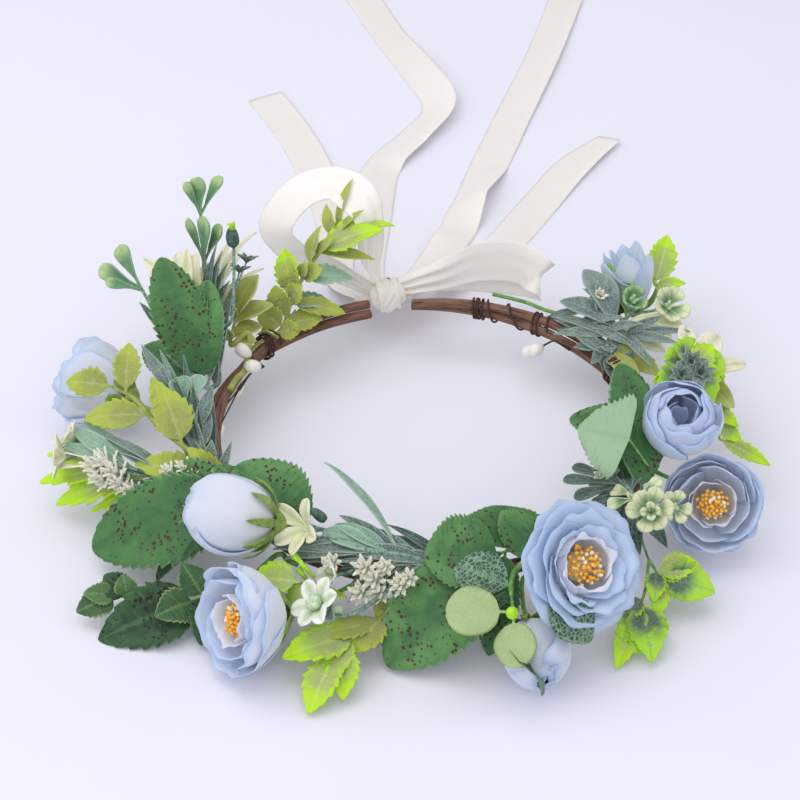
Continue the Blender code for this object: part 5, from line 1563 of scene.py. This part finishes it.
def wrap_band(lean, radius, start, end, width):
    """A band of satin round the knot, leaning by so many degrees, from one angle to another."""
    tilt = math.radians(lean)
    along = Vector((math.cos(tilt), 0, math.sin(tilt)))
    up = Vector((-math.sin(tilt), 0, math.cos(tilt)))
    route = []
    for index in range(WRAP_POINTS):
        angle = math.radians(start + (end - start) * index / (WRAP_POINTS - 1))
        route.append(knot_middle + (Vector((0, -math.cos(angle),
            0)) + up * (1.12 * math.sin(angle))) * (radius * MM))
    lay_satin(knot, route, [along] * WRAP_POINTS, [width] * WRAP_POINTS, [0.32] * WRAP_POINTS)


wrap_band(8, 6.6, -170, 170, 10)
wrap_band(-34, 7.1, -60, 160, 7)
knot.place("ribbon_knot", "ribbon_satin")

# %% [markdown]
# ## Table, light and camera
# The crown lies on a plain pale table. Large soft lamps above, in front and at both sides give an even
# light with faint shadows, and the sky colour is faintly lavender. The camera has a 100 mm lens a metre
# away, looking down at 38 degrees from the front and a little from the left.

# %% Set the stage
TABLE_PAINT, table_tree, table_shader = new_finish("pale_matt_table_cloth", 0.8)
table_place = add_node(table_tree, "TexCoord").outputs["Object"]
table_cloud = add_node(table_tree, "TexNoise", {"Vector": table_place, "Scale": grain(120),
    "Detail": 2.0}).outputs[0]
table_colour = paint_coats(table_tree, colour("#ebeaf4"), [(table_cloud, colour("#efeef7"))])
table_tree.links.new(table_colour, table_shader.inputs["Base Color"])
table = bpy.data.meshes.new("floor")
table.from_pydata([(-3, -3, 0), (3, -3, 0), (3, 3, 0), (-3, 3, 0)], [], [(0, 1, 2, 3)])
table.materials.append(TABLE_PAINT)
floor = bpy.data.objects.new("floor", table)
bpy.context.scene.collection.objects.link(floor)

world = bpy.data.worlds.new("soft_studio")
world.use_nodes = True
world.node_tree.nodes["Background"].inputs["Color"].default_value = colour("#f1f1fb")
world.node_tree.nodes["Background"].inputs["Strength"].default_value = 0.62
bpy.context.scene.world = world
LAMP_AIM = Vector((0, 0.05, 0.02))


def hang_lamp(name, place, size, power):
    """A square soft lamp at a place in metres, turned to the crown."""
    lamp = bpy.data.lights.new(name, "AREA")
    lamp.size = size
    lamp.energy = power
    holder = bpy.data.objects.new(name, lamp)
    holder.location = place
    holder.rotation_euler = (LAMP_AIM - holder.location).to_track_quat("-Z", "Y").to_euler()
    bpy.context.scene.collection.objects.link(holder)


hang_lamp("overhead_softbox", Vector((-0.25, 0.1, 1.5)), 1.5, 8.0)
hang_lamp("left_softbox", Vector((-1.3, -0.7, 0.9)), 1.2, 4)
hang_lamp("front_softbox", Vector((-0.3, -1.5, 1.1)), 1.4, 5)
hang_lamp("back_left_fill", Vector((-0.9, 0.5, 1.1)), 1.2, 2.5)
hang_lamp("right_fill", Vector((1.4, -0.3, 0.8)), 1.2, 2.4)

camera = bpy.data.objects.new("camera", bpy.data.cameras.new("camera"))
camera.data.lens = 100
camera.data.sensor_width = 36
camera.location = (-0.1411, -0.7327, 0.6234)
aim = Vector((-0.0082, 0.0216, 0.025))
camera.rotation_euler = (aim - camera.location).to_track_quat("-Z", "Y").to_euler()
bpy.context.scene.collection.objects.link(camera)
bpy.context.scene.camera = camera
bpy.context.scene.view_settings.view_transform = "Standard"
